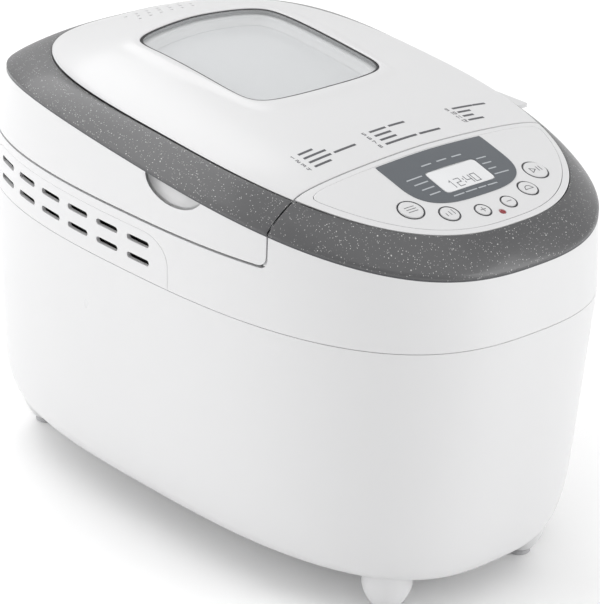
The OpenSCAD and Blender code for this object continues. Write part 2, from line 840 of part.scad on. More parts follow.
module motor() {
    can_r = 31;
    can_z = chassis_z + 8;
    can_h = 62;
    color("gray") difference() {
        union() {
            translate([0, motor_y, can_z]) cylinder(h = can_h, r = can_r);
            translate([0, motor_y, chassis_z + 2]) cylinder(h = 6 + tiny, r = 16);
            for (x = [-1, 1]) translate([x * 38, motor_y, chassis_z + 2]) {
                cylinder(h = 10, r = 4);
                translate([-9, -5, 6]) cube([18, 10, 4]);
            }
            translate([0, motor_y, can_z + can_h]) cylinder(h = 5, r = 9);
        }
        translate([0, motor_y, 0]) cylinder(h = can_z + can_h - 2, r = motor_shaft_r + running_gap);
    }
}

module motor_pulley() {
    color("silver") {
        translate([0, motor_y, floor_z]) cylinder(h = 80, r = motor_shaft_r);
        pulley_flanges();
    }
}

module pulley_flanges() {
    bottom = main_belt_z - belt_h / 2 - 1.9;
    top = main_belt_z + belt_h / 2 + 1.9;
    translate([0, motor_y, 0]) {
        translate([0, 0, bottom]) cylinder(h = top - bottom, r = motor_pulley_r);
        for (z = [bottom, top - 1.5]) translate([0, 0, z]) cylinder(h = 1.5, r = motor_pulley_r + 2);
    }
}

// Oven-floor half of a coupling: a disc with two upright dogs
module coupling(y) {
    color("silver") translate([0, y, 0]) difference() {
        union() {
            translate([0, 0, coupling_z]) cylinder(h = 3, r = 18);
            for (turn = [0, 180]) rotate([0, 0, turn])
                translate([wing_half_w + wing_gap, wing_half_l - dog, coupling_z])
                    cube([dog, dog, 9]);
        }
        translate([0, 0, coupling_z - 1]) cylinder(h = 40, r = drive_r);
    }
}
module front_coupling() coupling(front_shaft_y);
module rear_coupling() coupling(rear_shaft_y);

// ---------- pan ----------

module pan_block(half_w, half_l, shrink, z0, z1, r) {
    translate([0, oven_y, 0]) hull() {
        translate([0, 0, z1 - 0.1]) linear_extrude(0.1) rounded(half_w, half_l, r, $fn = 32);
        translate([0, 0, z0 + 6]) linear_extrude(0.1)
            rounded(half_w - shrink, half_l - shrink, r - 2, $fn = 32);
        translate([0, 0, z0]) linear_extrude(0.1)
            rounded(half_w - shrink - 5, half_l - shrink - 5, r - 5, $fn = 32);
    }
}

module bread_pan() {
    sheet = 1.5;
    corner = 18;
    shrink = 5;
    rim = 3;
    color("dimgray") difference() {
        union() {
            pan_block(pan_half_w, pan_half_l, shrink, pan_floor_z, pan_top_z, corner);
            translate([0, oven_y, pan_top_z - 2]) linear_extrude(2)
                rounded(pan_half_w + rim, pan_half_l + rim, corner + rim, $fn = 32);
            translate([0, oven_y, pan_rim_bottom_z]) linear_extrude(pan_floor_z - pan_rim_bottom_z + 4)
                difference() {
                    rounded(pan_half_w - 14, pan_half_l - 14, corner, $fn = 32);
                    rounded(pan_half_w - 15.5, pan_half_l - 15.5, corner - 1.5, $fn = 32);
                }
            for (y = [-1, 1]) translate([0, oven_y + y * (pan_half_l + 0.8), bail_z])
                rotate([90, 0, 0]) cylinder(h = 5.2, r = 7, center = true);
        }
        pan_block(pan_half_w - sheet, pan_half_l - sheet, shrink, pan_floor_z + 2.2,
                  pan_top_z + 1, corner - sheet);
        for (y = [front_shaft_y, rear_shaft_y])
            translate([0, y, pan_floor_z - 5]) cylinder(h = 20, r = seal_r);
        for (y = [-1, 1]) translate([0, oven_y + y * (pan_half_l + 2.5), bail_z])
            rotate([90, 0, 0]) cylinder(h = 8, r = bail_r + 0.08, center = true);
    }
}

module pan_seals() {
    color("darkgoldenrod") for (y = [front_shaft_y, rear_shaft_y])
        translate([0, y, 0]) difference() {
            union() {
                translate([0, 0, pan_floor_z - 2.5]) cylinder(h = 9, r = seal_r - tiny);
                translate([0, 0, pan_floor_z - 2.5]) cylinder(h = 2.4, r = seal_r + 3);
            }
            cylinder(h = far, r = kneading_r + running_gap);
        }
}

// Wire bail, drawn upright and laid over on the pan's rim
module pan_bail() {
    reach = 5.5;
    bend = 12;
    color("silver") translate([0, oven_y, bail_z]) rotate([0, bail_rest - 90, 0]) {
        for (y = [-1, 1]) {
            translate([0, y * (bail_y - reach), 0]) rotate([-90 * y, 0, 0])
                cylinder(h = reach, r = bail_r);
            translate([0, y * bail_y, 0]) sphere(bail_r);
            translate([0, y * bail_y, 0]) cylinder(h = bail_arm - bend, r = bail_r);
            translate([0, y * (bail_y - bend), bail_arm - bend]) rotate([90, 0, 90 * y])
                rotate_extrude(angle = 90) translate([bend, 0]) circle(bail_r);
        }
        translate([0, bend - bail_y, bail_arm]) rotate([-90, 0, 0])
            cylinder(h = 2 * (bail_y - bend), r = bail_r);
    }
}

module kneading_shaft(y) {
    color("silver") translate([0, y, 0]) {
        translate([0, 0, pan_floor_z - 10]) cylinder(h = 32, r = kneading_r);
        translate([-wing_half_w, -wing_half_l, pan_floor_z - 10])
            cube([2 * wing_half_w, 2 * wing_half_l, 6]);
    }
}
module front_kneading_shaft() kneading_shaft(front_shaft_y);
module rear_kneading_shaft() kneading_shaft(rear_shaft_y);

module paddle(y, turn) {
    low = pan_floor_z + 8;
    hub_r = 9;
    reach = 40;
    color("dimgray") translate([0, y, low]) rotate([0, 0, turn]) difference() {
        union() {
            cylinder(h = 18, r1 = hub_r, r2 = hub_r - 2);
            hull() {
                translate([hub_r - 2, 0, 1]) cylinder(h = 15, r = 2.5);
                translate([reach - 6, 3, 1]) cylinder(h = 9, r = 2);
            }
            hull() {
                translate([reach - 6, 3, 1]) cylinder(h = 9, r = 2);
                translate([reach, 9, 1]) cylinder(h = 5, r = 1.6);
            }
        }
        translate([0, 0, -1]) cylinder(h = 15.2, r = kneading_r + 0.02);
    }
}
module front_paddle() paddle(front_shaft_y, 0);
module rear_paddle() paddle(rear_shaft_y, 0);

// ---------- lid ----------

// Space cut in the lid's right edge for the hinge cover
module hinge_space(grow) {
    slab(brim_half_w + 0.2 - grow, far, hinge_front_y - 1 - grow, hinge_rear_y + 1 + grow,
         0, hinge_space_top + grow);
}

module lid_side() {
    slab(-far, far, lid_front_y, far, skirt_z, far);
}

module lid_shell() {
    color("white") meshed() difference() {
        intersection() {
            skin(window_outline(), brim_outline(), -wall, 0, 7);
            lid_side();
        }
        for (row = [0:2], i = [0:5])
            translate([steam_pitch * (i - 2.5 + (row % 2) / 2), steam_y + row * steam_row, 200])
                cylinder(h = 100, r = steam_r, $fn = 12);
    }
}

module lid_ring() {
    color("dimgray") meshed() difference() {
        intersection() {
            whole_ring();
            lid_side();
        }
        hinge_space(0);
    }
}

// Hollow under the ring's left edge, where the fingers lift the lid
module scoop(grow) {
    translate(scoop_at) scale(scoop_size + [grow, grow, grow]) sphere(1, $fn = 40);
}

module lid_skirt() {
    color("white") {
        meshed() difference() {
            union() {
                intersection() {
                    band_wall();
                    lid_side();
                }
                intersection() {
                    core(wall - tiny, 2 * wall);
                    lid_side();
                    union() {
                        slab(-far, far, lid_front_y, lid_front_y + wall, 0, far);
                        difference() {
                            hinge_space(wall);
                            hinge_space(0);
                        }
                    }
                }
                intersection() {
                    loft([for (s = band_steps) band_ring(s, 0)]);
                    lid_side();
                    scoop(wall);
                }
            }
            hinge_space(0);
            scoop(0);
        }
        for (y = knuckle_ys) knuckle(y);
    }
}

module knuckle(y) {
    y0 = y - knuckle_len / 2;
    y1 = y + knuckle_len / 2;
    root_x = brim_half_w - wall + 0.1;
    difference() {
        union() {
            along_y(y0, y1, hinge_x, hinge_z) circle(hinge_r);
            slab(root_x, hinge_x, y0, y1, hinge_z - 4, hinge_z + 4);
        }
        along_y(y0 - 1, y1 + 1, hinge_x, hinge_z) circle(pin_r + running_gap);
    }
}

// Pressed metal liner: a flange and a hood over the pan
module liner_block(grow, top) {
    translate([0, oven_y, 0]) hull() {
        translate([0, 0, liner_z - tiny]) linear_extrude(0.1)
            rounded(78 + grow, 120 + grow, 19 + grow, $fn = 32);
        translate([0, 0, top - 0.1]) linear_extrude(0.1)
            rounded(70 + grow, 118.5 + grow, 17 + grow, $fn = 32);
    }
}

module lid_liner() {
    sheet = 0.8;
    color("lightgray") meshed() difference() {
        union() {
            translate([0, 0, liner_z]) linear_extrude(sheet) intersection() {
                polygon([for (p = band_ring(0.5, wall + 0.6)) [p[0], p[1]]]);
                translate([-far, lid_front_y + wall + 0.3])
                    square([far + brim_half_w - wall - 0.4, far]);
            }
            liner_block(sheet, liner_top_z + sheet);
        }
        translate([0, 0, -tiny]) liner_block(0, liner_top_z);
        translate([0, 0, 230]) linear_extrude(20) polygon(window_outline(-12));
    }
}

module lid_seal() {
    color("dimgray") translate([0, oven_y, bezel_z + seal_gap]) linear_extrude(liner_z - bezel_z - seal_gap)
        difference() {
            rounded(88, 127, 28);
            rounded(84, 123, 24);
        }
}

// A skin whose whole area lies inside one outline
module patch(grow, low, high) {
    steps = 3;
    rim = window_outline(grow);
    function ring_at(s, dz) = [for (p = rim)
        let (q = [p[0] * s, oven_y + (p[1] - oven_y) * s]) [q[0], q[1], top_z(q[0], q[1]) + dz]];
    under = [for (j = [1:steps]) ring_at(j / steps, low)];
    over = [for (j = [steps:-1:1]) ring_at(j / steps, high)];
    loft(concat(under, over));
}

module window_glass() {
    color("lightblue") patch(-0.8, -3, -0.2);
}

module window_pane() {
    color("lightblue") patch(-7.2, -11, -8);
}

// White funnel between the liner and the glass, with a ledge for the pane
module window_frame() {
    color("white") hoop([for (t = around)
        let (outer = window_point(t, -0.8), lip = window_point(t, -4.5),
             ledge = window_point(t, -7), inner = window_point(t, -11.5),
             foot_in = window_point(t, -11), foot_out = window_point(t, -5))
        [
            at_lid(outer, -3.2), at_lid(lip, -3.2), at_lid(ledge, -7.8),
            at_lid(ledge, -11.2), at_lid(inner, -11.2),
            [foot_in[0], foot_in[1], liner_top_z + 1],
            [foot_out[0], foot_out[1], liner_top_z + 1], at_lid(outer, -7)
        ]]);
}

function at_lid(p, dz) = [p[0], p[1], top_z(p[0], p[1]) + dz];

// ---------- choice of what is drawn ----------

lower_housing();
upper_housing();
left_vent_panel();
right_vent_panel();
base_plate();
front_left_foot();
front_right_foot();
rear_left_foot();
rear_right_foot();
foot_pads();
cord_gland();
casing_screws();
front_ring();
control_deck();
display_panel();
display_window();
lcd_module();
power_led();
control_board();
menu_button();
size_button();
plus_button();
minus_button();
crust_button();
start_button();
hinge_cover();
hinge_pin();
oven_chamber();
heating_element();
temperature_probe();
thermal_cutout();
power_board();
chassis_plate();
motor();
motor_pulley();
main_belt();
tie_belt();
front_pulley();
rear_pulley();
front_drive_shaft();
rear_drive_shaft();
drive_bushes();
front_coupling();
rear_coupling();
bread_pan();
pan_bail();
pan_seals();
front_kneading_shaft();
rear_kneading_shaft();
front_paddle();
rear_paddle();
lid_shell();
lid_ring();
lid_skirt();
lid_liner();
lid_seal();
window_glass();
window_pane();
window_frame();
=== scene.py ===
"""Visual model of the bread machine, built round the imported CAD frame.

Sizes are in millimetres, in the frame's own axes, and become metres when a
mesh is made. The outlines repeat the rules that the CAD shells follow.
"""
import json
import math
import bmesh
import bpy
import numpy as np
from mathutils import Matrix, Vector


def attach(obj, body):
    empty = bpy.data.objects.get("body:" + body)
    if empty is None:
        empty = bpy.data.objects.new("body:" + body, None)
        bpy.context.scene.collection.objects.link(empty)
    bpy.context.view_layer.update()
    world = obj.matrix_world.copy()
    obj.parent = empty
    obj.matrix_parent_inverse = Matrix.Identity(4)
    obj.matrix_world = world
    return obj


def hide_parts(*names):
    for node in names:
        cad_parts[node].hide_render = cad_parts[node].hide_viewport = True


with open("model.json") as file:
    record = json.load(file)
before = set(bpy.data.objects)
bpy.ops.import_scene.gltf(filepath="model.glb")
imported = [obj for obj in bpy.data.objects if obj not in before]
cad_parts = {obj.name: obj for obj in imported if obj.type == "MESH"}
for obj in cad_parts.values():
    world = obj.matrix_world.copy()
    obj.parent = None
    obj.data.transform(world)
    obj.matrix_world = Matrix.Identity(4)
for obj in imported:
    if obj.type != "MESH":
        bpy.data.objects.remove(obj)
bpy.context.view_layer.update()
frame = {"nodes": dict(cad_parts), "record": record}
MM = 0.001
FAR = 400.0

# ---------- dimensions ----------

BODY_A, BODY_B, BODY_P = 118.7, 193.5, 2.7
SEAM_Z, FLOOR_Z, WALL = 167.8, 22.2, 2.4
RIM_A, RIM_B, RIM_P, RIM_H = 120.9, 190.0, 2.61, 2.2
BRIM_A, BRIM_B, BRIM_P, BRIM_Y = 103.4, 163.1, 2.56, -11.4
RIM_REAR_B, RIM_REAR_P = 160.2, 3.43
BRIM_REAR_B, BRIM_REAR_P = 158.4, 2.795
REAR_BULGE, BULGE_LENGTH = 1.16, 100.0
RIDGE = np.array([(-174.5, 223.8), (-132.5, 236.9), (-105, 244.7), (-75, 251.3),
                  (-40, 256.5), (0, 260.9), (35, 264.7), (60, 266.3), (85, 265.9),
                  (110, 262.5), (130, 257.4), (147, 250.1)])
LID_Y, DECK_Y = -102.5, -103.5
SKIRT_Z, BEZEL_Z = 202.7, 201.2
WINDOW_A, WINDOW_B, WINDOW_P = 50.8, 51.5, 9.0
OVEN_Y, OVEN_COLUMNS = 27.5, 200
HINGE_X, HINGE_Z, HINGE_R = 112.9, 221.5, 6.2
HINGE_Y0, HINGE_Y1, RECESS_TOP = -66.0, 74.0, 231.5
RECESS_X, RECESS_Y0, RECESS_Y1, KNUCKLE_YS = 103.6, -69.0, 75.0, (-50, 50)
RECESS_END_X, RECESS_ROOF_X, RECESS_FRONT_TOP = 118.2, 117.4, 224.0
KNUCKLE_HALF, WEB_HALF = 7.5, 4.0
DISPLAY_Y, DECK_SLOPE = -132.5, math.radians(16.1)
DISPLAY_W, DISPLAY_L = 37.0, 18.6
PANEL_HALF, PANEL_REAR_Y, PANEL_BEND_Y, PANEL_FRONT = 39.5, -107.8, -124.0, 25.5
BUTTONS = {"menu": (-47.3, -143.2, 6.8), "size": (-29.7, -154.4, 5.3),
           "plus": (-9.8, -159.4, 4.1), "minus": (9.8, -159.4, 4.1),
           "crust": (29.7, -154.4, 5.3), "start": (47.3, -143.2, 6.8)}
CAP_PROUD, CAP_CROWN = 0.5, 0.12
LED = (0.0, -164.4, 2.0)
VENT_ZS, VENT_YS = (188.7, 177.9), [-10.5 + 26.3 * i for i in range(6)]
VENT_Y0, VENT_Y1, VENT_TOP, VENT_CORNER = -34.6, 146.0, 196.0, 15.0
SCOOP_AT, SCOOP_SIZE = (-119.0, -38.5, 231.0), (6.0, 22.5, 13.5)
PAN_W, PAN_L, PAN_TOP, PAN_FLOOR = 62.0, 108.0, 174.0, 72.0
FOOT_X, FOOT_Y = 53.0, 148.2

# ---------- outlines and surfaces ----------


def powered(v, e):
    return np.sign(v) * np.abs(v) ** e


def oval(a, b, p, t):
    """Superellipse point at angle t, in radians."""
    return a * powered(np.cos(t), 2 / p), b * powered(np.sin(t), 2 / p)


def two_ovals(a, front_b, front_p, rear_b, rear_p, t):
    """An outline with one length and squareness in front and another behind."""
    rear = np.sin(t) > 0
    p, b = np.where(rear, rear_p, front_p), np.where(rear, rear_b, front_b)
    return oval(a, b, p, t)


def rim_xy(t):
    return two_ovals(RIM_A, RIM_B, RIM_P, RIM_REAR_B, RIM_REAR_P, t)


def brim_xy(t, inset=0.0):
    x, y = two_ovals(BRIM_A - inset, BRIM_B - inset, BRIM_P, BRIM_REAR_B - inset, BRIM_REAR_P, t)
    return x, y + BRIM_Y


def rim_z(y):
    r = np.maximum(y, 0)
    return 232.9 + 0.1038 * y - 0.000243 * y**2 + 0.000683 * r**2 - 0.00000558 * r**3


def brim_z(y):
    r = np.maximum(y - BRIM_Y, 0)
    return 246.1 + 0.0688 * y - 0.000339 * y**2 + 0.0000972 * r**2 - 0.000000305 * r**3


def ridge_z(y):
    """Height of the lid and deck along their middle line."""
    ys, zs = RIDGE[:, 0], RIDGE[:, 1]
    slope = np.gradient(zs, ys)
    slope[1:-1] = (zs[2:] - zs[:-2]) / (ys[2:] - ys[:-2])
    y = np.clip(y, ys[0], ys[-1])
    i = np.clip(np.searchsorted(ys, y) - 1, 0, len(ys) - 2)
    h = ys[i + 1] - ys[i]
    s = (y - ys[i]) / h
    return ((2 * s**3 - 3 * s**2 + 1) * zs[i] + (s**3 - 2 * s**2 + s) * h * slope[i]
            + (3 * s**2 - 2 * s**3) * zs[i + 1] + (s**3 - s**2) * h * slope[i + 1])


def brim_half(y):
    rear = y > BRIM_Y
    p = np.where(rear, BRIM_REAR_P, BRIM_P)
    v = np.clip(np.abs((y - BRIM_Y) / np.where(rear, BRIM_REAR_B, BRIM_B)), 0, 1)
    return BRIM_A * (1 - v**p) ** (1 / p)


def top_z(x, y):
    """Height of the lid and deck's outer face."""
    u = np.clip(np.abs(x) / np.maximum(brim_half(y), 0.01), 0, 1)
    return brim_z(y) + (ridge_z(y) - brim_z(y)) * (1 - u**1.52) ** 0.49


def height_at(x, y):
    return float(top_z(np.array(x), np.array(y)))


def stack(x, y, z):
    return np.stack(np.broadcast_arrays(x, y, z), -1).astype(float)


def band(t, s):
    """The casing's side between the main seam, s = 0, and the ring, s = 1."""
    x0, y0 = oval(BODY_A, BODY_B, BODY_P, t)
    x1, y1 = rim_xy(t)
    r = np.clip(y0 / BULGE_LENGTH, 0, 1)
    across = np.clip(s, 0, None) ** (1 + REAR_BULGE * r * r * (3 - 2 * r))
    return stack(x0 + (x1 - x0) * across, y0 + (y1 - y0) * across,
                 SEAM_Z + (rim_z(y1) - SEAM_Z) * s)


def band_share(t, z):
    """The share s up the band at which it is at height z."""
    y1 = rim_xy(t)[1]
    return (z - SEAM_Z) / (rim_z(y1) - SEAM_Z)


def ring_top(t, w):
    """The ring's crowned top, from its outer rim, w = 0, to its brim, w = 1."""
    x0, y0 = rim_xy(t)
    x1, y1 = brim_xy(t)
    z0, z1 = rim_z(y0) + RIM_H, top_z(x1, y1)
    swell = 1.5 * (4 * w * (1 - w)) ** 0.8
    return stack(x0 + (x1 - x0) * w, y0 + (y1 - y0) * w, z0 + (z1 - z0) * w + swell)


def bucket(t, phi, z):
    """The lower housing: phi turns round its bottom edge, z sets its straight wall."""
    f = np.sin(phi) ** (2 / 3.2)
    come_in = 1 - np.cos(phi) ** (2 / 3.2)
    z = np.where(phi > 0, FLOOR_Z + 51.8 * (1 - f), z)
    down = SEAM_Z - z
    a = BODY_A - 0.077 * down - 33.4 * come_in
    b = BODY_B - 0.072 * down - 11.3 * come_in
    x, y = oval(a, b, 2.7 + 0.2 * down / (SEAM_Z - FLOOR_Z), t)
    return stack(x, y, z)


def last_inside(inside, shape, low, high):
    """Halves in on the value at which a test that starts true turns false."""
    low, high = np.full(shape, float(low)), np.full(shape, float(high))
    for _ in range(50):
        mid = (low + high) / 2
        within = inside(mid)
        low, high = np.where(within, mid, low), np.where(within, high, mid)
    return (low + high) / 2


def left_angle_at(outline_y, y):
    """The angle on the left side at which a falling outline passes y."""
    return last_inside(lambda t: outline_y(t) > y, np.shape(y), math.pi / 2, 1.5 * math.pi)


def band_angle(share, y):
    """The angle on the left side at which the band passes y, a share of the way up."""
    return float(left_angle_at(lambda t: band(t, share)[..., 1], y))


def window_outline(t, grow=0.0):
    c, s = np.cos(t), np.sin(t)
    k = ((np.abs(c) / (WINDOW_A + grow)) ** WINDOW_P
         + (np.abs(s) / (WINDOW_B + grow)) ** WINDOW_P) ** (-1 / WINDOW_P)
    x, y = k * c, k * s
    bow = np.where(y < 0, 7.5, 5.5)
    y2 = OVEN_Y + y + bow * y / WINDOW_B * (1 - np.clip(np.abs(x) / WINDOW_A, 0, 1) ** 2)
    return x, y2


def in_rounded(x, y, half_w, half_l, r):
    """Whether points lie inside a rectangle with rounded corners."""
    qx, qy = np.abs(x) - half_w + r, np.abs(y) - half_l + r
    return np.hypot(np.maximum(qx, 0), np.maximum(qy, 0)) + np.minimum(np.maximum(qx, qy), 0) < r


def rounded_radius(half_w, half_l, r, angle):
    """Distance from the middle to a rounded rectangle's edge, in each direction."""
    dx, dy = np.cos(angle), np.sin(angle)
    return last_inside(lambda d: in_rounded(d * dx, d * dy, half_w, half_l, r), np.shape(dx), 0,
                       half_w + half_l)


def deck_frame():
    """Turns the level display plane into the sloping deck plane."""
    lift = float(ridge_z(np.array(DISPLAY_Y)))
    return (Matrix.Translation(Vector((0, DISPLAY_Y, lift)) * MM)
            @ Matrix.Rotation(DECK_SLOPE, 4, "X"))


def around(n, start=0.0):
    return start + np.linspace(0, 2 * math.pi, n, endpoint=False)


# ---------- materials ----------


def put(m, socket, value):
    """Sets a socket, or links it if the value is another node's output."""
    if isinstance(value, bpy.types.NodeSocket):
        m.node_tree.links.new(value, socket)
    else:
        socket.default_value = value


def feed(m, node, **inputs):
    """Fills a node's inputs; an underscore in a name stands for a space."""
    for name, value in inputs.items():
        put(m, node.inputs[name.replace("_", " ")], value)
    return node


def add(m, kind, **inputs):
    return feed(m, m.node_tree.nodes.new("ShaderNode" + kind), **inputs)


def principled(m):
    return m.node_tree.nodes["Principled BSDF"]


def combine(m, operation, a, b):
    """A maths node's result from two values or outputs."""
    n = add(m, "Math")
    n.operation = operation
    put(m, n.inputs[0], a)
    put(m, n.inputs[1], b)
    return n.outputs["Value"]


def material(name, color, rough=0.4, metal=0.0, coat=0.0, grain=0.0, grain_size=0.4,
             rough_spread=0.05, transmission=0.0, color_spread=0.0):
    """A moulded, cast or rolled finish: fine bump and slightly uneven gloss."""
    m = bpy.data.materials.new(name)
    m.use_nodes = True
    place = add(m, "TexCoord").outputs["Object"]
    cloud = add(m, "TexNoise", Vector=place, Scale=22, Detail=3).outputs["Fac"]
    gloss = add(m, "MapRange", Value=cloud, To_Min=max(0.02, rough - rough_spread),
                To_Max=rough + rough_spread)
    shader = feed(m, principled(m), Base_Color=(*color, 1), Metallic=metal, Coat_Weight=coat,
                  Coat_Roughness=0.12, Transmission_Weight=transmission,
                  Roughness=gloss.outputs["Result"])
    if color_spread:
        tint = add(m, "ValToRGB", Fac=cloud)
        ends = tint.color_ramp.elements
        for end, place_on_ramp, share in ((ends[0], 0.3, 1 - color_spread),
                                          (ends[1], 0.7, 1 + color_spread)):
            end.position = place_on_ramp
            end.color = (*[min(1, c * share) for c in color], 1)
        feed(m, shader, Base_Color=tint.outputs["Color"])
    if grain:
        fine = add(m, "TexNoise", Vector=place, Scale=1000 / grain_size, Detail=2)
        bump = add(m, "Bump", Strength=grain, Distance=0.00005, Height=fine.outputs["Fac"])
        feed(m, shader, Normal=bump.outputs["Normal"])
    return m


def speckled(name, base, fleck):
    """Dark satin plastic with light flecks of several sizes."""
    m = material(name, base, rough=0.36, grain=0.25, grain_size=0.5, coat=0.25)
    place = add(m, "TexCoord").outputs["Object"]
    flecks = 0.0
    for scale, size, density in ((640, 0.19, 0.72), (400, 0.16, 0.8), (1000, 0.25, 0.62)):
        cell = add(m, "TexVoronoi", Vector=place, Scale=scale)
        split = add(m, "SeparateColor", Color=cell.outputs["Color"])
        dot = combine(m, "LESS_THAN", cell.outputs["Distance"], size)
        chosen = combine(m, "GREATER_THAN", split.outputs["Red"], density)
        bright = combine(m, "MULTIPLY", dot, chosen)
        faded = combine(m, "MULTIPLY", bright, split.outputs["Green"])
        flecks = combine(m, "MAXIMUM", flecks, faded)
    mix = add(m, "Mix")
    mix.data_type = "RGBA"
    for i, value in ((0, flecks), (6, (*base, 1)), (7, (*fleck, 1))):
        put(m, mix.inputs[i], value)
    feed(m, principled(m), Base_Color=mix.outputs[2])
    return m


def brushed(name, color, rough=0.3, along=(1, 1, 40)):
    """Metal with fine drawn lines, stretched along one axis."""
    m = material(name, color, rough=rough, metal=1.0)
    place = add(m, "TexCoord").outputs["Object"]
    stretch = add(m, "Mapping", Vector=place, Scale=along)
    lines = add(m, "TexNoise", Vector=stretch.outputs["Vector"], Scale=60, Detail=5)
    bump = add(m, "Bump", Strength=0.12, Distance=0.0001, Height=lines.outputs["Fac"])
    feed(m, principled(m), Normal=bump.outputs["Normal"])
    return m


def glass(name, tint, rough):
    """Mostly see-through, with slightly uneven gloss."""
    m = bpy.data.materials.new(name)
    m.use_nodes = True
    place = add(m, "TexCoord").outputs["Object"]
    haze = add(m, "TexNoise", Vector=place, Scale=15)
    gloss = add(m, "MapRange", Value=haze.outputs["Fac"], To_Min=rough, To_Max=rough + 0.03)
    feed(m, principled(m), Base_Color=(*tint, 1), Alpha=0.2, Roughness=gloss.outputs["Result"])
    return m


WHITE = (0.66, 0.66, 0.665)
mats = {
    "white_gloss": material("white_gloss", WHITE, rough=0.3, grain=0.06, coat=0.15),
    "white_satin": material("white_satin", (0.64, 0.64, 0.645), rough=0.42, grain=0.1),
    "speckled_ring": speckled("speckled_ring", (0.08, 0.08, 0.083), (0.55, 0.55, 0.54)),
    "grey_plastic": material("grey_plastic", (0.62, 0.62, 0.625), rough=0.5, grain=0.3),
    "rubber": material("rubber", (0.035, 0.035, 0.037), rough=0.75, grain=0.5),
    "pad_rubber": material("pad_rubber", (0.42, 0.42, 0.43), rough=0.7, grain=0.5),
    "belt_rubber": material("belt_rubber", (0.02, 0.02, 0.02), rough=0.7, grain=0.6),
    "panel_print": material("panel_print", (0.098, 0.108, 0.12), rough=0.4, grain=0.08),
    "display": material("display", (0.74, 0.745, 0.755), rough=0.22, coat=0.4, color_spread=0.04),
    "red_lens": material("red_lens", (0.22, 0.004, 0.01), rough=0.15, coat=0.8),
    "circuit_board": material("circuit_board", (0.02, 0.13, 0.05), rough=0.45, grain=0.3,
                              color_spread=0.15),
    "steel": brushed("steel", (0.62, 0.62, 0.63), rough=0.24),
    "galvanised": brushed("galvanised", (0.56, 0.57, 0.58), rough=0.36, along=(30, 30, 1)),
    "element": material("element", (0.09, 0.085, 0.09), rough=0.5, metal=0.8, grain=0.5,
                        color_spread=0.3),
    "motor_paint": material("motor_paint", (0.1, 0.1, 0.11), rough=0.4, grain=0.2),
    "cast_metal": material("cast_metal", (0.5, 0.5, 0.5), rough=0.45, metal=1.0, grain=0.6),
    "pulley_plastic": material("pulley_plastic", (0.05, 0.05, 0.052), rough=0.5, grain=0.3),
    "bronze": material("bronze", (0.42, 0.27, 0.1), rough=0.4, metal=1.0, grain=0.4),
    "nonstick": material("nonstick", (0.035, 0.036, 0.04), rough=0.34, grain=0.45,
                         grain_size=0.7, coat=0.2, color_spread=0.2),
    "lid_metal": brushed("lid_metal", (0.7, 0.7, 0.71), rough=0.34, along=(1, 30, 30)),
    "clear_glass": glass("clear_glass", (0.82, 0.84, 0.85), 0.03),
    "hazy_glass": material("hazy_glass", (0.7, 0.705, 0.715), rough=0.3, coat=0.4,
                           transmission=0.15, color_spread=0.03),
    # near black: painted shade, a sheet standing in for the dark inside seen through the vent slots
    "painted_vent_shade": material("painted_vent_shade", (0.012, 0.012, 0.013), rough=0.8, grain=0.2),
    "mark_dark": material("mark_dark", (0.09, 0.09, 0.098), rough=0.5, grain=0.1),
    "mark_light": material("mark_light", (0.42, 0.44, 0.46), rough=0.5, grain=0.1),
    # dark print round the button caps, and also painted shade on the ring's lower rim strip
    "print_and_rim_shade": material("print_and_rim_shade", (0.06, 0.062, 0.068), rough=0.45, grain=0.1),
    "digit": material("digit", (0.09, 0.095, 0.105), rough=0.4, grain=0.1),
}

# ---------- mesh making ----------


MIDDLE = Vector((0, 0, 120)) * MM


def face_out(bm):
    """Joins doubled points and turns every face outward from the machine's middle."""
    bmesh.ops.remove_doubles(bm, verts=bm.verts, dist=1e-6)
    bmesh.ops.recalc_face_normals(bm, faces=bm.faces)
    out = sum(f.normal.dot(f.calc_center_median() - MIDDLE) * f.calc_area() for f in bm.faces)
    if out < 0:
        bmesh.ops.reverse_faces(bm, faces=bm.faces)


def face_alike(bm):
    bmesh.ops.recalc_face_normals(bm, faces=bm.faces)


def sharpen(mesh, degrees):
    """Smooth faces, with edges sharper than the angle kept crisp."""
    bm = bmesh.new()
    bm.from_mesh(mesh)
    limit = math.radians(degrees)
    for f in bm.faces:
        f.smooth = True
    for e in bm.edges:
        e.smooth = not (len(e.link_faces) == 2 and e.calc_face_angle(0) > limit)
    bm.to_mesh(mesh)
    bm.free()


def mesh_object(name, verts, faces, finish):
    mesh = bpy.data.meshes.new(name)
    mesh.from_pydata((np.asarray(verts, float) * MM).tolist(), [], [list(f) for f in faces])
    bm = bmesh.new()
    bm.from_mesh(mesh)
    finish(bm)
    bm.to_mesh(mesh)
    bm.free()
    o = bpy.data.objects.new(name, mesh)
    bpy.context.scene.collection.objects.link(o)
    return o


def combine_with(o, other, operation):
    b = o.modifiers.new("cut", "BOOLEAN")
    b.object, b.operation, b.solver = other, operation, "EXACT"


def round_edges(o, width, segments):
    b = o.modifiers.new("edge", "BEVEL")
    b.width, b.segments, b.limit_method = width * MM, segments, "ANGLE"
    b.angle_limit = math.radians(50)


def piece(name, verts, faces, body, look, stands_for=(), thick=0.0, bevel=0.0, cutters=(),
          segments=3, angle=38, keep=None):
    """Makes a mesh piece from points in mm and puts it on its CAD body."""
    o = mesh_object(name, verts, faces, face_out)
    if thick:
        s = o.modifiers.new("wall", "SOLIDIFY")
        s.thickness, s.offset = thick * MM, -1
        s.use_even_offset = True
    for cutter in cutters:
        combine_with(o, cutter, "DIFFERENCE")
    if keep:
        combine_with(o, keep, "INTERSECT")
    if bevel:
        round_edges(o, bevel, segments)
    settle(o)
    finish_surface(o, look, angle)
    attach(o, body)
    if stands_for:
        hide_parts(*stands_for)
    return o


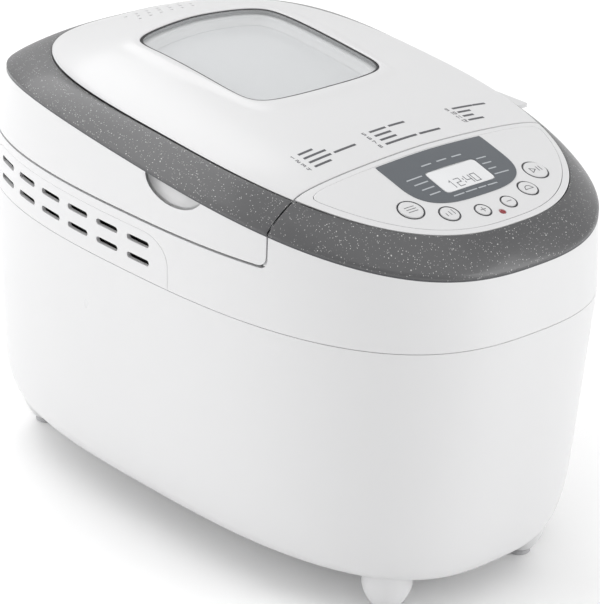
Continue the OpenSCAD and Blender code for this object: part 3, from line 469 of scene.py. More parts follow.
def settle(o):
    """Applies a piece's modifiers to its mesh."""
    if o.modifiers:
        bpy.context.view_layer.update()
        done = bpy.data.meshes.new_from_object(
            o.evaluated_get(bpy.context.evaluated_depsgraph_get()))
        o.modifiers.clear()
        o.data = done
        done.name = o.name
    return o


def finish_surface(o, look, angle=38):
    sharpen(o.data, angle)
    o.data.materials.clear()
    o.data.materials.append(mats[look])


def tool(name, verts, faces):
    """A cutting solid, removed again once it has been used."""
    return mesh_object(name, verts, faces, face_alike)


def merge(solids):
    verts, faces = [], []
    for v, f in solids:
        faces += [[i + len(verts) for i in g] for g in f]
        verts += [list(p) for p in v]
    return np.array(verts), faces


def joined(name, solids):
    """One cutting object from several separate solids."""
    return tool(name, *merge(solids))


def moved(verts, place):
    m = np.array(place)
    return np.asarray(verts) @ m[:3, :3].T + m[:3, 3]


def drop(*tools):
    for o in tools:
        bpy.data.objects.remove(o)


def grid(points, close_u=False, close_v=False):
    """Points and quads of an nu by nv sheet."""
    nu, nv = points.shape[:2]
    faces = []
    for i in range(nu if close_u else nu - 1):
        for j in range(nv if close_v else nv - 1):
            k, m = (i + 1) % nu, (j + 1) % nv
            faces.append((i * nv + j, k * nv + j, k * nv + m, i * nv + m))
    return points.reshape(-1, 3), faces


def end_caps(nu, nv):
    """The two flat faces that close a sheet whose first direction is closed."""
    return [tuple(i * nv for i in range(nu))[::-1], tuple(i * nv + nv - 1 for i in range(nu))]


def rows(fn, values):
    return np.stack([fn(v) for v in values], 1)


def prism(outline, axis, low, high):
    """A straight solid on a closed outline; low and high may vary along it."""
    outline = np.asarray(outline, float)
    n = len(outline)
    low, high = np.broadcast_to(low, n), np.broadcast_to(high, n)
    a, b = outline[:, 0], outline[:, 1]
    order = {"x": lambda d: stack(d, a, b), "y": lambda d: stack(a, d, b),
             "z": lambda d: stack(a, b, d)}[axis]
    verts = np.concatenate([order(low), order(high)])
    faces = [tuple(range(n)), tuple(range(2 * n - 1, n - 1, -1))]
    faces += [(i, (i + 1) % n, n + (i + 1) % n, n + i) for i in range(n)]
    return verts, faces


def lathe(profile, n, at=(0, 0, 0), turn=None):
    """A turned solid from (radius, height) points; ends on the axis close it."""
    profile = np.asarray(profile, float)
    t = around(n)
    pts = stack(np.cos(t)[:, None] * profile[:, 0], np.sin(t)[:, None] * profile[:, 0],
                profile[:, 1][None, :])
    verts, faces = grid(pts, close_u=True)
    if turn is not None:
        m = np.array(turn.to_3x3())
        verts = verts @ m.T
    return verts + np.array(at), faces


def slot_outline(y, z, half_len, r, n=8):
    """A slot lying along y, with round ends."""
    ends = [(y + half_len - r + r * math.cos(a), z + r * math.sin(a))
            for a in np.linspace(-math.pi / 2, math.pi / 2, n)]
    ends += [(y - half_len + r + r * math.cos(a), z + r * math.sin(a))
             for a in np.linspace(math.pi / 2, 1.5 * math.pi, n)]
    return ends


# ---------- lower housing, feet and base ----------


def lower_housing():
    t = around(240)
    turns = np.linspace(math.pi / 2, 0, 22, endpoint=False)
    walls = np.concatenate([np.linspace(74.2, SEAM_Z - 3, 14), [SEAM_Z - 1.2, SEAM_Z - 0.4]])
    side = [bucket(t, phi, 0.0) for phi in turns] + [bucket(t, 0.0, z) for z in walls]
    edge = side[0]
    angle = np.arctan2(edge[:, 1], edge[:, 0])
    r = rounded_radius(62, 158, 40, angle)
    hole = stack(r * np.cos(angle), r * np.sin(angle), FLOOR_Z)
    floor = [hole + (edge - hole) * s for s in (0, 0.1, 0.5, 0.9)]
    verts, faces = grid(np.stack(floor + side, 1), close_u=True)
    piece("casing_lower", verts, faces, "housing", "white_gloss", ["lower_housing"],
          thick=WALL, bevel=0.35)


def foot_profile():
    s = np.linspace(0, 1, 14)
    r = 7.5 + (14 - 7.5) * s + 2.5 * np.sin(math.pi * s)
    z = 3 + 20 * s
    tip = [(0.0, 3.0), (5.5, 3.0), (7.0, 3.25)]
    return tip + list(zip(r[1:], z[1:])) + [(14, 27), (0.0, 27)]


def feet():
    for name, x, y in (("front_left_foot", -1, -1), ("front_right_foot", 1, -1),
                       ("rear_left_foot", -1, 1), ("rear_right_foot", 1, 1)):
        verts, faces = lathe(foot_profile(), 64, (x * FOOT_X, y * FOOT_Y, 0))
        piece(name + "_shell", verts, faces, "housing", "white_satin", [name],
              bevel=0.3, angle=30)
    pad = [(0, 2.99), (6.4, 2.99), (6.8, 2.6), (6.8, 0.6), (6.2, 0), (3, 0), (2.4, 0.5), (0, 0.5)]
    verts, faces = merge([lathe(pad, 48, (x, y, 0)) for x in (-FOOT_X, FOOT_X)
                          for y in (-FOOT_Y, FOOT_Y)])
    piece("foot_pad_set", verts, faces, "housing", "pad_rubber", ["foot_pads"], angle=35)


# ---------- upper housing and vents ----------

CUT_FILLET = 5.0


def split_band(cut_y, zs, outward):
    """Angles where the band meets the lid's split at each height, with a fillet."""
    out = []
    for z in np.atleast_1d(zs):
        t = 4.0
        for _ in range(6):
            s = band_share(t, z)
            up = z - (BEZEL_Z if outward else SKIRT_Z)
            d = max(0.0, CUT_FILLET - up)
            bend = CUT_FILLET - math.sqrt(max(0.0, CUT_FILLET**2 - d**2))
            t = band_angle(s, cut_y + bend)
        out.append(t)
    return np.array(out)


def upper_housing():
    heights = np.concatenate([BEZEL_Z + CUT_FILLET * (1 - np.cos(np.linspace(0, math.pi / 2, 9))),
                              np.linspace(BEZEL_Z + CUT_FILLET + 2, 219, 5)])
    left = split_band(DECK_Y, heights, True)
    share = np.array([float(band_share(a, z)) for a, z in zip(left, heights)])
    left, share = np.append(left, band_angle(1.0, DECK_Y)), np.append(share, 1.0)
    front_u = np.linspace(0, 1, 121)
    front_t = left[None, :] + front_u[:, None] * (3 * math.pi - 2 * left[None, :])
    # each front column rises from the bezel's height to the ring
    foot_share = band_share(front_t[:, 0], BEZEL_Z)
    rise = (share - share[0]) / (1 - share[0])
    front_s = foot_share[:, None] + (1 - foot_share[:, None]) * rise[None, :]
    front = band(front_t, front_s)
    back_t = np.linspace(3 * math.pi - left[0], left[0] + 2 * math.pi, 202)[1:-1]
    all_t = np.concatenate([front_t[:, 0], back_t])
    lower_z = [SEAM_Z + 0.02, SEAM_Z + 1, SEAM_Z + 4] + list(np.linspace(SEAM_Z + 8, BEZEL_Z - 3, 6))
    lower = rows(lambda z: band(all_t, band_share(all_t, z)), lower_z + [BEZEL_Z])
    verts, faces = merge([grid(lower, close_u=True), grid(front)])
    cutter = joined("vent_cutter", [vent_space(side, 0.0) for side in (-1, 1)])
    piece("casing_upper", verts, faces, "housing", "white_gloss", ["upper_housing"],
          thick=WALL, cutters=[cutter], angle=40)
    drop(cutter)
    for side, name in ((-1, "left_vent_panel"), (1, "right_vent_panel")):
        near = joined("vent_keep", [vent_space(side, 0.28)])
        slots = joined("slot_cutter", [prism(slot_outline(y, z, 9.2, 1.8), "x",
                                             side * 90.0, side * 140.0)
                                       for y in VENT_YS for z in VENT_ZS])
        t = np.linspace(math.radians(45), math.radians(205), 120)
        t = t if side < 0 else math.pi - t
        zs = np.linspace(SEAM_Z + 0.02, BEZEL_Z, 14)
        v, f = grid(rows(lambda z: band(t, band_share(t, z)), zs))
        piece(name + "_grille", v, f, "housing", "white_gloss", [name], thick=WALL,
              cutters=[slots], keep=near, angle=40)
        drop(near, slots)
        # near-black sheet just inside each vent: painted shade for the dark interior seen through the
        # slots
        inner = band(t, band_share(t, 183.0))
        levels = [inner * (0.945, 0.96, 0) + (0, 0, z) for z in (169.5, 176, 183, 190, 197)]
        span = (inner[:, 1] > VENT_Y0 - 4) & (inner[:, 1] < VENT_Y1 + 4)
        v, f = grid(np.stack(levels, 1)[span])
        piece(name + "_shade_sheet", v, f, "housing", "painted_vent_shade", thick=1.2)


def vent_space(side, gap):
    """The vent panel's place: a rounded outline pushed through one side wall."""
    y0, y1, top, r = VENT_Y0 + gap, VENT_Y1 - gap, VENT_TOP - gap * 0.4, VENT_CORNER
    bottom = SEAM_Z - 3 + (3.02 if gap else 0)
    arc = np.linspace(0, math.pi / 2, 16)
    outline = [(y0, bottom)] + [(y0 + r * 1.3 * (1 - math.cos(a)), top - r * (1 - math.sin(a)))
                                for a in arc]
    outline += [(y1 - r * 1.3 * (1 - math.cos(a)), top - r * (1 - math.sin(a)))
                for a in arc[::-1]] + [(y1, bottom)]
    return prism(outline, "x", side * 80.0, side * 140.0)


# ---------- ring ----------


def ring_piece(name, body, cut_y, rear, stands_for, cutters=()):
    """Front or rear part of the speckled ring, cut square at cut_y."""
    def sheet(surfaces):
        columns = []
        for fn in surfaces:
            cut = float(left_angle_at(lambda q: fn(q)[..., 1], np.array(cut_y)))
            ends = (math.pi - cut, cut) if rear else (cut, 3 * math.pi - cut)
            columns.append(fn(np.linspace(*ends, 241)))
        return grid(np.stack(columns, 1))

    surfaces = [lambda t: band(t, 1.0) + (0, 0, 0.9), lambda t: band(t, 1.0) + (0, 0, 1.5)]
    surfaces += [lambda t, w=w: ring_top(t, w) for w in np.linspace(0, 1, 15)]
    surfaces += [lambda t: ring_top(t, 1.0) - (0, 0, 1.8)]
    verts, faces = sheet(surfaces)
    piece(name, verts, faces, body, "speckled_ring", stands_for, thick=0.9, bevel=0.25,
          cutters=cutters)
    # plain dark strip on the ring's lower rim face: painted shade where the rim face falls into shadow
    verts, faces = sheet([lambda t, z=z: band(t, 1.0) + (0, 0, z) for z in (0.0, 0.45, 0.88)])
    piece(name + "_foot", verts, faces, body, "print_and_rim_shade", thick=0.9, cutters=cutters)


# ---------- lid ----------


def lid_skirt():
    near = CUT_FILLET / 420
    u = np.concatenate([np.linspace(0, near, 14, endpoint=False),
                        np.linspace(near, 1 - near, 260), np.linspace(1 - near, 1, 14)[1:]])
    shares = np.linspace(0, 1, 12)
    cut = np.array([band_angle(s, LID_Y) for s in shares])

    def angle(uu, s):
        c = np.interp(s, shares, cut)
        return (math.pi - c) + uu * (2 * c - math.pi)

    base = np.full(len(u), SKIRT_Z)
    t = angle(u, 0.5)
    for _ in range(5):
        s = band_share(t, base)
        t = angle(u, s)
        d = band(t, s)[:, 1] - LID_Y
        inside = np.clip(CUT_FILLET - d, 0, CUT_FILLET)
        base = SKIRT_Z + CUT_FILLET - np.sqrt(CUT_FILLET**2 - inside**2)
    low = band_share(t, base)
    cols = []
    for v in (0, 0.03, 0.1, 0.2, 0.35, 0.5, 0.65, 0.8, 0.92, 1.0):
        s = low + (0.9995 - low) * v
        cols.append(band(angle(u, s), s))
    verts, faces = grid(np.stack(cols, 1))
    space = tool("hinge_cutter", *box(RECESS_X, FAR, RECESS_Y0, RECESS_Y1, 100.0, RECESS_TOP))
    scoop = tool("scoop_cutter", *ball(SCOOP_AT, SCOOP_SIZE, 0.0))
    piece("lid_side", verts, faces, "lid", "white_gloss", ["lid_skirt"], thick=WALL,
          cutters=[scoop, space], bevel=0.3, segments=2)
    ring_piece("lid_speckled_ring", "lid", LID_Y, True, ["lid_ring"], [space])
    drop(space)
    full = around(200)
    shell = np.stack([band(full, s) for s in np.linspace(0.3, 1.0, 8)], 1)
    v, f = grid(shell, close_u=True)
    core = tool("core_keep", v, f + end_caps(*shell.shape[:2]))
    v, f = ball(SCOOP_AT, SCOOP_SIZE, 1.8)
    piece("finger_scoop", v, f, "lid", "white_gloss", cutters=[scoop], keep=core)
    drop(core, scoop)


def ball(at, size, grow):
    t = around(72)
    lat = np.linspace(-math.pi / 2, math.pi / 2, 37)
    r = np.cos(lat)[None, :]
    pts = stack(np.cos(t)[:, None] * r, np.sin(t)[:, None] * r, np.sin(lat)[None, :])
    pts = pts * (np.array(size) + grow) + np.array(at)
    verts, faces = grid(pts, close_u=True)
    mesh = bmesh.new()
    made = [mesh.verts.new(p) for p in verts]
    for f in faces:
        mesh.faces.new([made[i] for i in f])
    bmesh.ops.remove_doubles(mesh, verts=mesh.verts, dist=1e-3)
    bmesh.ops.dissolve_degenerate(mesh, edges=mesh.edges, dist=1e-3)
    mesh.verts.index_update()
    verts = [tuple(v.co) for v in mesh.verts]
    faces = [[v.index for v in f.verts] for f in mesh.faces]
    mesh.free()
    return verts, faces


def box(x0, x1, y0, y1, z0, z1):
    return prism([(x0, y0), (x1, y0), (x1, y1), (x0, y1)], "z", z0, z1)


def cross_wall(name, body, y0, y1, bottom):
    """A wall across the machine under the ring and top skin, inside the band."""
    y = (y0 + y1) / 2
    sides = np.array([band(band_angle(s, y), s) for s in np.linspace(0, 1, 9)])
    sides = sides[sides[:, 2] > bottom + 2]
    foot_x = float(np.interp(bottom, (SEAM_Z, sides[-1, 2]), (-BODY_A, sides[-1, 0])))
    left = [(foot_x + WALL + 1, bottom)] + [(x + WALL + 0.2, z) for x, _, z in sides[:-1]]
    half = float(brim_half(np.array(y)))
    x = np.linspace(-half, half, 41)
    top = [(a, height_at(a, y) - WALL + 0.2) for a in x]
    outline = left + top + [(-a, z) for a, z in left[::-1]]
    v, f = prism(outline, "y", y0, y1)
    piece(name, v, f, body, "white_gloss", angle=30)


def inner_walls():
    """The shelf the lid closes on, the walls behind the lid's split, the hinge recess."""
    t = around(360)
    side = band(t, band_share(t, BEZEL_Z - 1.2))
    dx, dy = side[:, 0], side[:, 1] - OVEN_Y
    turn = np.arctan2(dy, dx) % (2 * math.pi)
    order = np.argsort(turn)
    reach = np.interp(t, turn[order], (np.hypot(dx, dy) - 1.6)[order], period=2 * math.pi)
    down = np.where(np.sin(t) < -0.02, (DECK_Y - 2.4 - OVEN_Y) / np.minimum(np.sin(t), -0.02), FAR)
    reach = np.minimum(reach, down)
    hole = rounded_radius(82, 123, 22, t)
    loops = [stack(r * np.cos(t), OVEN_Y + r * np.sin(t), BEZEL_Z - 0.02)
             for r in (hole, hole + 0.4, reach)]
    v, f = grid(np.stack(loops, 1), close_u=True)
    piece("casing_shelf", v, f, "housing", "white_gloss", thick=WALL, bevel=0.3)
    cross_wall("deck_rear_wall", "housing", DECK_Y - WALL, DECK_Y - 0.02, BEZEL_Z - 1)
    cross_wall("lid_front_wall", "lid", LID_Y + 0.02, LID_Y + WALL, SKIRT_Z + 0.02)
    y0, y1, x0 = RECESS_Y0, RECESS_Y1, RECESS_X - WALL
    low, high = SKIRT_Z + 0.02, RECESS_TOP + WALL
    # the front end wall stays under the lid's falling side
    walls = [box(x0, RECESS_X, y0 - WALL, y1 + WALL, low, high),
             box(x0, RECESS_END_X, y0 - WALL, y0, low, RECESS_FRONT_TOP),
             box(x0, RECESS_END_X, y1, y1 + WALL, low, high),
             box(x0, RECESS_ROOF_X, y0 - WALL, y1 + WALL, RECESS_TOP, high)]
    for i, (v, f) in enumerate(walls):
        piece("hinge_recess_%d" % (i + 1), v, f, "lid", "white_gloss", angle=30)
    meet = math.pi - math.asin(WEB_HALF / HINGE_R)
    arc = np.linspace(-meet, meet, 49)
    outline = [(x0 + 0.5, HINGE_Z - WEB_HALF)]
    outline += [(HINGE_X + HINGE_R * math.cos(a), HINGE_Z + HINGE_R * math.sin(a)) for a in arc]
    outline += [(x0 + 0.5, HINGE_Z + WEB_HALF)]
    for name, y in zip(("front", "rear"), KNUCKLE_YS):
        v, f = prism(outline, "y", y - KNUCKLE_HALF, y + KNUCKLE_HALF)
        piece(name + "_knuckle", v, f, "lid", "white_gloss", bevel=0.3, segments=2, angle=35)


def lid_shell():
    gap = 0.2
    corner = float(left_angle_at(lambda q: brim_xy(q, gap)[1], np.array(LID_Y)))
    t = np.concatenate([np.linspace(math.pi - corner, corner, 190, endpoint=False),
                        np.linspace(corner, 3 * math.pi - corner, 70, endpoint=False)])
    xo, yo = brim_xy(t, gap)
    xi, yi = window_outline(t)
    cut = np.clip((LID_Y - yi) / np.minimum(yo - yi, -1e-6), 0, 1)
    share = np.where(yo < LID_Y, cut, 1.0)
    # along the straight front edge the columns fan out evenly
    xo, yo = xi + (xo - xi) * share, yi + (yo - yi) * share
    step = np.concatenate([[0, 0.006, 0.02, 0.045, 0.08, 0.12], np.linspace(0.17, 0.94, 22),
                           [0.965, 0.985, 1.0]])
    x = xi[:, None] + (xo - xi)[:, None] * step[None, :]
    y = yi[:, None] + (yo - yi)[:, None] * step[None, :]
    d = np.hypot(x - xi[:, None], y - yi[:, None])
    shoulder = 0.9 * np.exp(-(((d - 4.5) / 4.5) ** 2)) * (d > 0)
    z = top_z(x, y) + shoulder
    verts, faces = grid(stack(x, y, z), close_u=True)
    holes = []
    hole = [(math.cos(a) * 1.1, math.sin(a) * 1.1) for a in around(20)]
    for row in range(3):
        for i in range(6):
            cx, cy = 8 * (i - 2.5 + (row % 2) / 2), 107.5 + 6.5 * row
            holes.append(prism([(cx + a, cy + b) for a, b in hole], "z", 240.0, 290.0))
    cutter = joined("steam_cutter", holes)
    piece("lid_top", verts, faces, "lid", "white_gloss", ["lid_shell"], thick=WALL,
          bevel=0.35, cutters=[cutter], segments=2)
    drop(cutter)


def sheet_patch(grow, low, high, n=160, rings=14):
    """A closed slab that follows the lid inside the window's outline."""
    t = around(n)
    x, y = window_outline(t, grow)
    s = np.sin(np.linspace(0.02, 1, rings) * math.pi / 2)
    px, py = x[:, None] * s, OVEN_Y + (y[:, None] - OVEN_Y) * s
    top = stack(px, py, top_z(px, py) + high)
    under = stack(px, py, top_z(px, py) + low)[:, ::-1]
    verts, faces = grid(np.concatenate([top, under], 1), close_u=True)
    return verts, faces + end_caps(n, 2 * rings)


def window():
    v, f = sheet_patch(-1.35, -3.0, -0.3)
    piece("window_glazing", v, f, "lid", "clear_glass", ["window_glass"], bevel=0.5)
    v, f = sheet_patch(-7.4, -11.0, -8.0)
    piece("window_inner_pane", v, f, "lid", "hazy_glass", ["window_pane"], bevel=0.3)
    t = around(200)

    def at(grow, dz):
        x, y = window_outline(t, grow)
        return stack(x, y, top_z(x, y) + dz)

    def level(grow, z):
        x, y = window_outline(t, grow)
        return stack(x, y, z)

    loop = [at(-0.8, -3.2), at(-3.5, -3.2), at(-4.5, -3.6), at(-5.0, -4.6), at(-6.6, -7.4),
            at(-7.6, -7.9), at(-7.3, -8.1), at(-7.3, -11.2), at(-11.5, -11.2),
            level(-11, 239), level(-5, 239), at(-0.8, -7)]
    v, f = grid(np.stack(loop, 1), close_u=True, close_v=True)
    piece("window_surround", v, f, "lid", "white_satin", ["window_frame"], angle=50)
    # dark gasket line in the gap round the glazing
    loop = [at(-0.02, -0.3), at(-1.3, -0.3), at(-1.3, -2.2), at(-0.02, -2.2)]
    v, f = grid(np.stack(loop, 1), close_u=True, close_v=True)
    piece("window_gasket", v, f, "lid", "rubber", angle=50)


# ---------- deck ----------

DECK_C = np.array([0.0, -134.0])


def deck_radius(angle, far, inside):
    """Distance from the deck's middle to where inside(x, y) stops being true."""
    dx, dy = np.cos(angle), np.sin(angle)
    return last_inside(lambda d: inside(d * dx + DECK_C[0], d * dy + DECK_C[1]), np.shape(dx), 0,
                       far)


def deck_outline(angle, inset_side, inset_rear, soft):
    """Distance from the deck's middle to an outline inset from its edges."""
    a, b = BRIM_A - inset_side, BRIM_B - inset_side
    r = deck_radius(angle, 150, lambda x, y: np.abs(x / a) ** BRIM_P
                    + np.abs((y - BRIM_Y) / b) ** BRIM_P < 1)
    dy = np.sin(angle)
    line = (DECK_Y - inset_rear - DECK_C[1]) / np.maximum(dy, 1e-6)
    line = np.where(dy > 0.02, line, 1e4)
    if not soft:
        return np.minimum(r, line)
    return (r**-soft + np.minimum(line, 1e4) ** -soft) ** (-1 / soft)


def deck_strip(angle, r0, r1, steps, lift=0.0):
    r = r0[:, None] + (r1 - r0)[:, None] * steps[None, :]
    x = DECK_C[0] + r * np.cos(angle)[:, None]
    y = DECK_C[1] + r * np.sin(angle)[:, None]
    return stack(x, y, top_z(x, y) + lift)


def corner_angles(n):
    """Even angles with the outline's two rear corners among them."""
    edge = left_angle_at(lambda q: brim_xy(q, 0.45)[1], np.array(DECK_Y))
    a = math.atan2(DECK_Y - DECK_C[1], -float(brim_xy(edge, 0.45)[0]))
    return np.unique(np.concatenate([around(n), [a, math.pi - a]]))


def deck():
    angle = corner_angles(300)
    outer = deck_outline(angle, 0.45, 0, 0)
    groove_out = deck_outline(angle, 3.9, 3.2, 14)
    groove_in = groove_out - 0.4
    v, f = grid(deck_strip(angle, groove_out, outer, np.array([0, 0.15, 0.4, 0.7, 0.9, 1])),
                close_u=True)
    piece("deck_border", v, f, "housing", "white_gloss", thick=WALL, bevel=0.22, segments=2)
    # the display's opening, seen from the deck's middle
    hole = display_radius(angle, 0.1)
    steps = np.concatenate([[0, 0.02, 0.06], np.linspace(0.12, 0.95, 20), [0.985, 1]])
    v, f = grid(deck_strip(angle, hole, groove_in, steps), close_u=True)
    cutter = joined("button_cutter", button_holes())
    piece("deck_top", v, f, "housing", "white_gloss", ["control_deck"], thick=WALL,
          bevel=0.22, cutters=[cutter], segments=2)
    drop(cutter)


def display_radius(angle, grow):
    half_w, half_l = DISPLAY_W / 2 + grow, DISPLAY_L / 2 * math.cos(DECK_SLOPE) + grow
    return deck_radius(angle, 60,
                       lambda x, y: in_rounded(x, y - DISPLAY_Y, half_w, half_l, 2.4))


def deck_place(x, y):
    """A deck position as a matrix whose Z stands square to the deck plane."""
    return (Matrix.Translation(Vector((x, y, height_at(x, y))))
            @ Matrix.Rotation(DECK_SLOPE, 4, "X"))


def turned(profile, n, place):
    v, f = lathe(profile, n)
    return moved(v, place), f


def button_holes():
    solids = []
    for x, y, r in list(BUTTONS.values()) + [LED]:
        gap = 0.1 if r == LED[2] else 0.22
        solids.append(turned([(0, -9), (r + gap, -9), (r + gap, 8), (0, 8)], 64, deck_place(x, y)))
    return solids


def cap_height(d, r):
    return CAP_PROUD + CAP_CROWN * (1 - (d / r) ** 2)


def buttons():
    for name, (x, y, r) in BUTTONS.items():
        cap = [(d * r, cap_height(d * r, r)) for d in (0, 0.3, 0.6, 0.8)]
        cap += [(r - 0.4, CAP_PROUD), (r - 0.12, CAP_PROUD - 0.14), (r, CAP_PROUD - 0.42),
                (r, -3), (r + 1.2, -3), (r + 1.2, -4.2), (0, -4.2)]
        v, f = turned(cap[::-1], 72, deck_place(x, y))
        piece(name + "_cap", v, f, name + "_key", "white_satin", [name + "_button"], angle=35)
        # printed dark ring round the cap, on the deck
        ring = [(r + 0.24, 0.02), (r + 1.0, 0.02), (r + 1.0, 0.14), (r + 0.24, 0.14)]
        v, f = turned(ring + ring[:1], 96, deck_place(x, y))
        draped = drape_to_top(v, 0.02)
        piece(name + "_outline", draped, f, "housing", "print_and_rim_shade", angle=50)
    x, y, r = LED
    lens = [(0, 0.7), (r * 0.5, 0.58), (r * 0.85, 0.28), (r, -0.1), (r, -4), (0, -4)]
    v, f = turned(lens[::-1], 48, deck_place(x, y))
    piece("power_lens", v, f, "housing", "red_lens", ["power_led"])


def drape_to_top(verts, lift):
    """Lays a thin ring's under side on the lid's surface and its top just above it."""
    verts = np.array(verts, float)
    surface = top_z(verts[:, 0], verts[:, 1])
    above = verts[:, 2] - surface
    verts[:, 2] = surface + np.where(above > np.median(above), 0.08, lift)
    return verts


def display():
    angle = around(160)
    edge = display_radius(angle, 0.25)
    panel = deck_radius(angle, 90, in_panel)
    v, f = grid(deck_strip(angle, edge, panel, np.linspace(0, 1, 12), 0.3), close_u=True)
    piece("display_surround", v, f, "housing", "panel_print", ["display_panel"], thick=0.28, angle=50)
    w, l = DISPLAY_W / 2 - 0.1, DISPLAY_L / 2 - 0.1
    t = around(96)
    r = rounded_radius(w, l, 2.3, t)
    place = np.array(deck_frame())
    place[:3, 3] /= MM
    v, f = prism(np.stack([r * np.cos(t), r * np.sin(t)], 1), "z", -3.2, 0.12)
    piece("display_face", moved(v, place), f, "housing", "display", ["display_window"], bevel=0.3)
    marks = []
    x = -11.5
    for digit in "12:40":
        marks += [[(px + x, py - 7.4) for px, py in s] for s in strokes(digit, 3.3, 6.3)]
        x += 2.4 if digit == ":" else 4.9
    solids = [ribbon(s, 0.45, lambda a, b: (a, b, 0.13), 0.06) for s in marks]
    verts, faces = merge(solids)
    piece("display_digits", moved(verts, place), faces, "housing", "digit")


def in_panel(x, y):
    """Inside the display panel: a straight rear edge and sides, and a rounded front."""
    x = np.abs(x)
    down = np.clip((PANEL_BEND_Y - y) / PANEL_FRONT, 0, 2)
    front = (x / PANEL_HALF) ** 2.9 + down**2.9 < 1
    return (y < PANEL_REAR_Y) & (x < PANEL_HALF) & np.where(y < PANEL_BEND_Y, front, True)


# ---------- marks ----------

GLYPHS = {
    "0": [[(0, 0), (1, 0), (1, 1), (0, 1), (0, 0)]],
    "1": [[(0.2, 0.8), (0.55, 1), (0.55, 0)]],
    "2": [[(0, 1), (1, 1), (1, 0.5), (0, 0.5), (0, 0), (1, 0)]],
    "3": [[(0, 1), (1, 1), (1, 0), (0, 0)], [(0.3, 0.5), (1, 0.5)]],
    "4": [[(0, 1), (0, 0.45), (1, 0.45)], [(1, 1), (1, 0)]],
    "5": [[(1, 1), (0, 1), (0, 0.5), (1, 0.5), (1, 0), (0, 0)]],
    "6": [[(1, 1), (0, 1), (0, 0), (1, 0), (1, 0.5), (0, 0.5)]],
    "7": [[(0, 1), (1, 1), (0.45, 0)]],
    "8": [[(0, 0), (1, 0), (1, 1), (0, 1), (0, 0)], [(0, 0.5), (1, 0.5)]],
    "9": [[(0, 0), (1, 0), (1, 1), (0, 1), (0, 0.5), (1, 0.5)]],
    ":": [[(0.2, 0.62), (0.2, 0.78)], [(0.2, 0.22), (0.2, 0.38)]],
}


def strokes(char, w, h):
    return [[(x * w, y * h) for x, y in line] for line in GLYPHS[char]]


def ribbon(line, width, place, thick):
    """A flat bar along a short line, as a closed solid laid where place says."""
    pts = np.array(line, float)
    seg = np.diff(pts, axis=0)
    seg /= np.maximum(np.hypot(seg[:, 0], seg[:, 1]), 1e-9)[:, None]
    side = np.stack([-seg[:, 1], seg[:, 0]], 1)
    joint = np.concatenate([side[:1], (side[1:] + side[:-1]), side[-1:]])
    joint /= np.maximum(np.hypot(joint[:, 0], joint[:, 1]), 1e-9)[:, None]
    fix = np.ones(len(pts))
    fix[1:-1] = 1 / np.maximum(np.sum(joint[1:-1] * side[1:], 1), 0.5)
    pts[0] -= seg[0] * width / 2 if not np.allclose(pts[0], pts[-1]) else 0
    pts[-1] += seg[-1] * width / 2
    a = pts + joint * (width / 2 * fix)[:, None]
    b = pts - joint * (width / 2 * fix)[:, None]
    n = len(pts)
    verts = []
    for lift in (0, thick):
        for p in (a, b):
            for q in p:
                x, y, z = place(*q)
                verts.append((x, y, z + lift))
    faces = []
    for i in range(n - 1):
        A, B, C, D = i, n + i, 2 * n + i, 3 * n + i
        faces += [(A, A + 1, B + 1, B), (C, D, D + 1, C + 1),
                  (A, C, C + 1, A + 1), (B, B + 1, D + 1, D)]
    faces += [(0, n, 3 * n, 2 * n), (n - 1, 3 * n - 1, 4 * n - 1, 2 * n - 1)]
    return np.array(verts), faces


def on_top(x, y):
    return x, y, height_at(x, y) + 0.02


def dash(x, y, length, step=2.5):
    n = max(2, int(length / step) + 1)
    return [(x + length * i / (n - 1), y) for i in range(n)]


def programme_marks():
    """Numbers one to twelve, each with plain bars in place of words."""
    solids = []
    blocks = [(-71.7, -77.5, 1, (11, 16.7, (16.7, 15), 13)),
              (-23.0, -81.0, 5, ((13, 13), 13, 11.2, (24.1, 15))),
              (42.0, -79.5, 9, ((14.9, 9.4), 9.4, 7.5, 11.2))]
    for x0, y0, first, words in blocks:
        for row, bars in enumerate(words):
            y = y0 - 4.3 * row
            x = x0
            for char in str(first + row):
                for s in strokes(char, 1.3, 2.3):
                    solids.append(ribbon([(px + x, py + y - 1.15) for px, py in s], 0.42, on_top,
                                         0.05))
                x += 1.95
            x = x0 + 5.6
            for bar in bars if isinstance(bars, tuple) else (bars,):
                for k in range(int(bar / 1.86)):
                    solids.append(ribbon(dash(x + 1.86 * k, y, 1.0), 1.6, on_top, 0.05))
                x += bar + 1.2
    v, f = merge(solids)
    piece("programme_marks", v, f, "lid", "mark_dark")


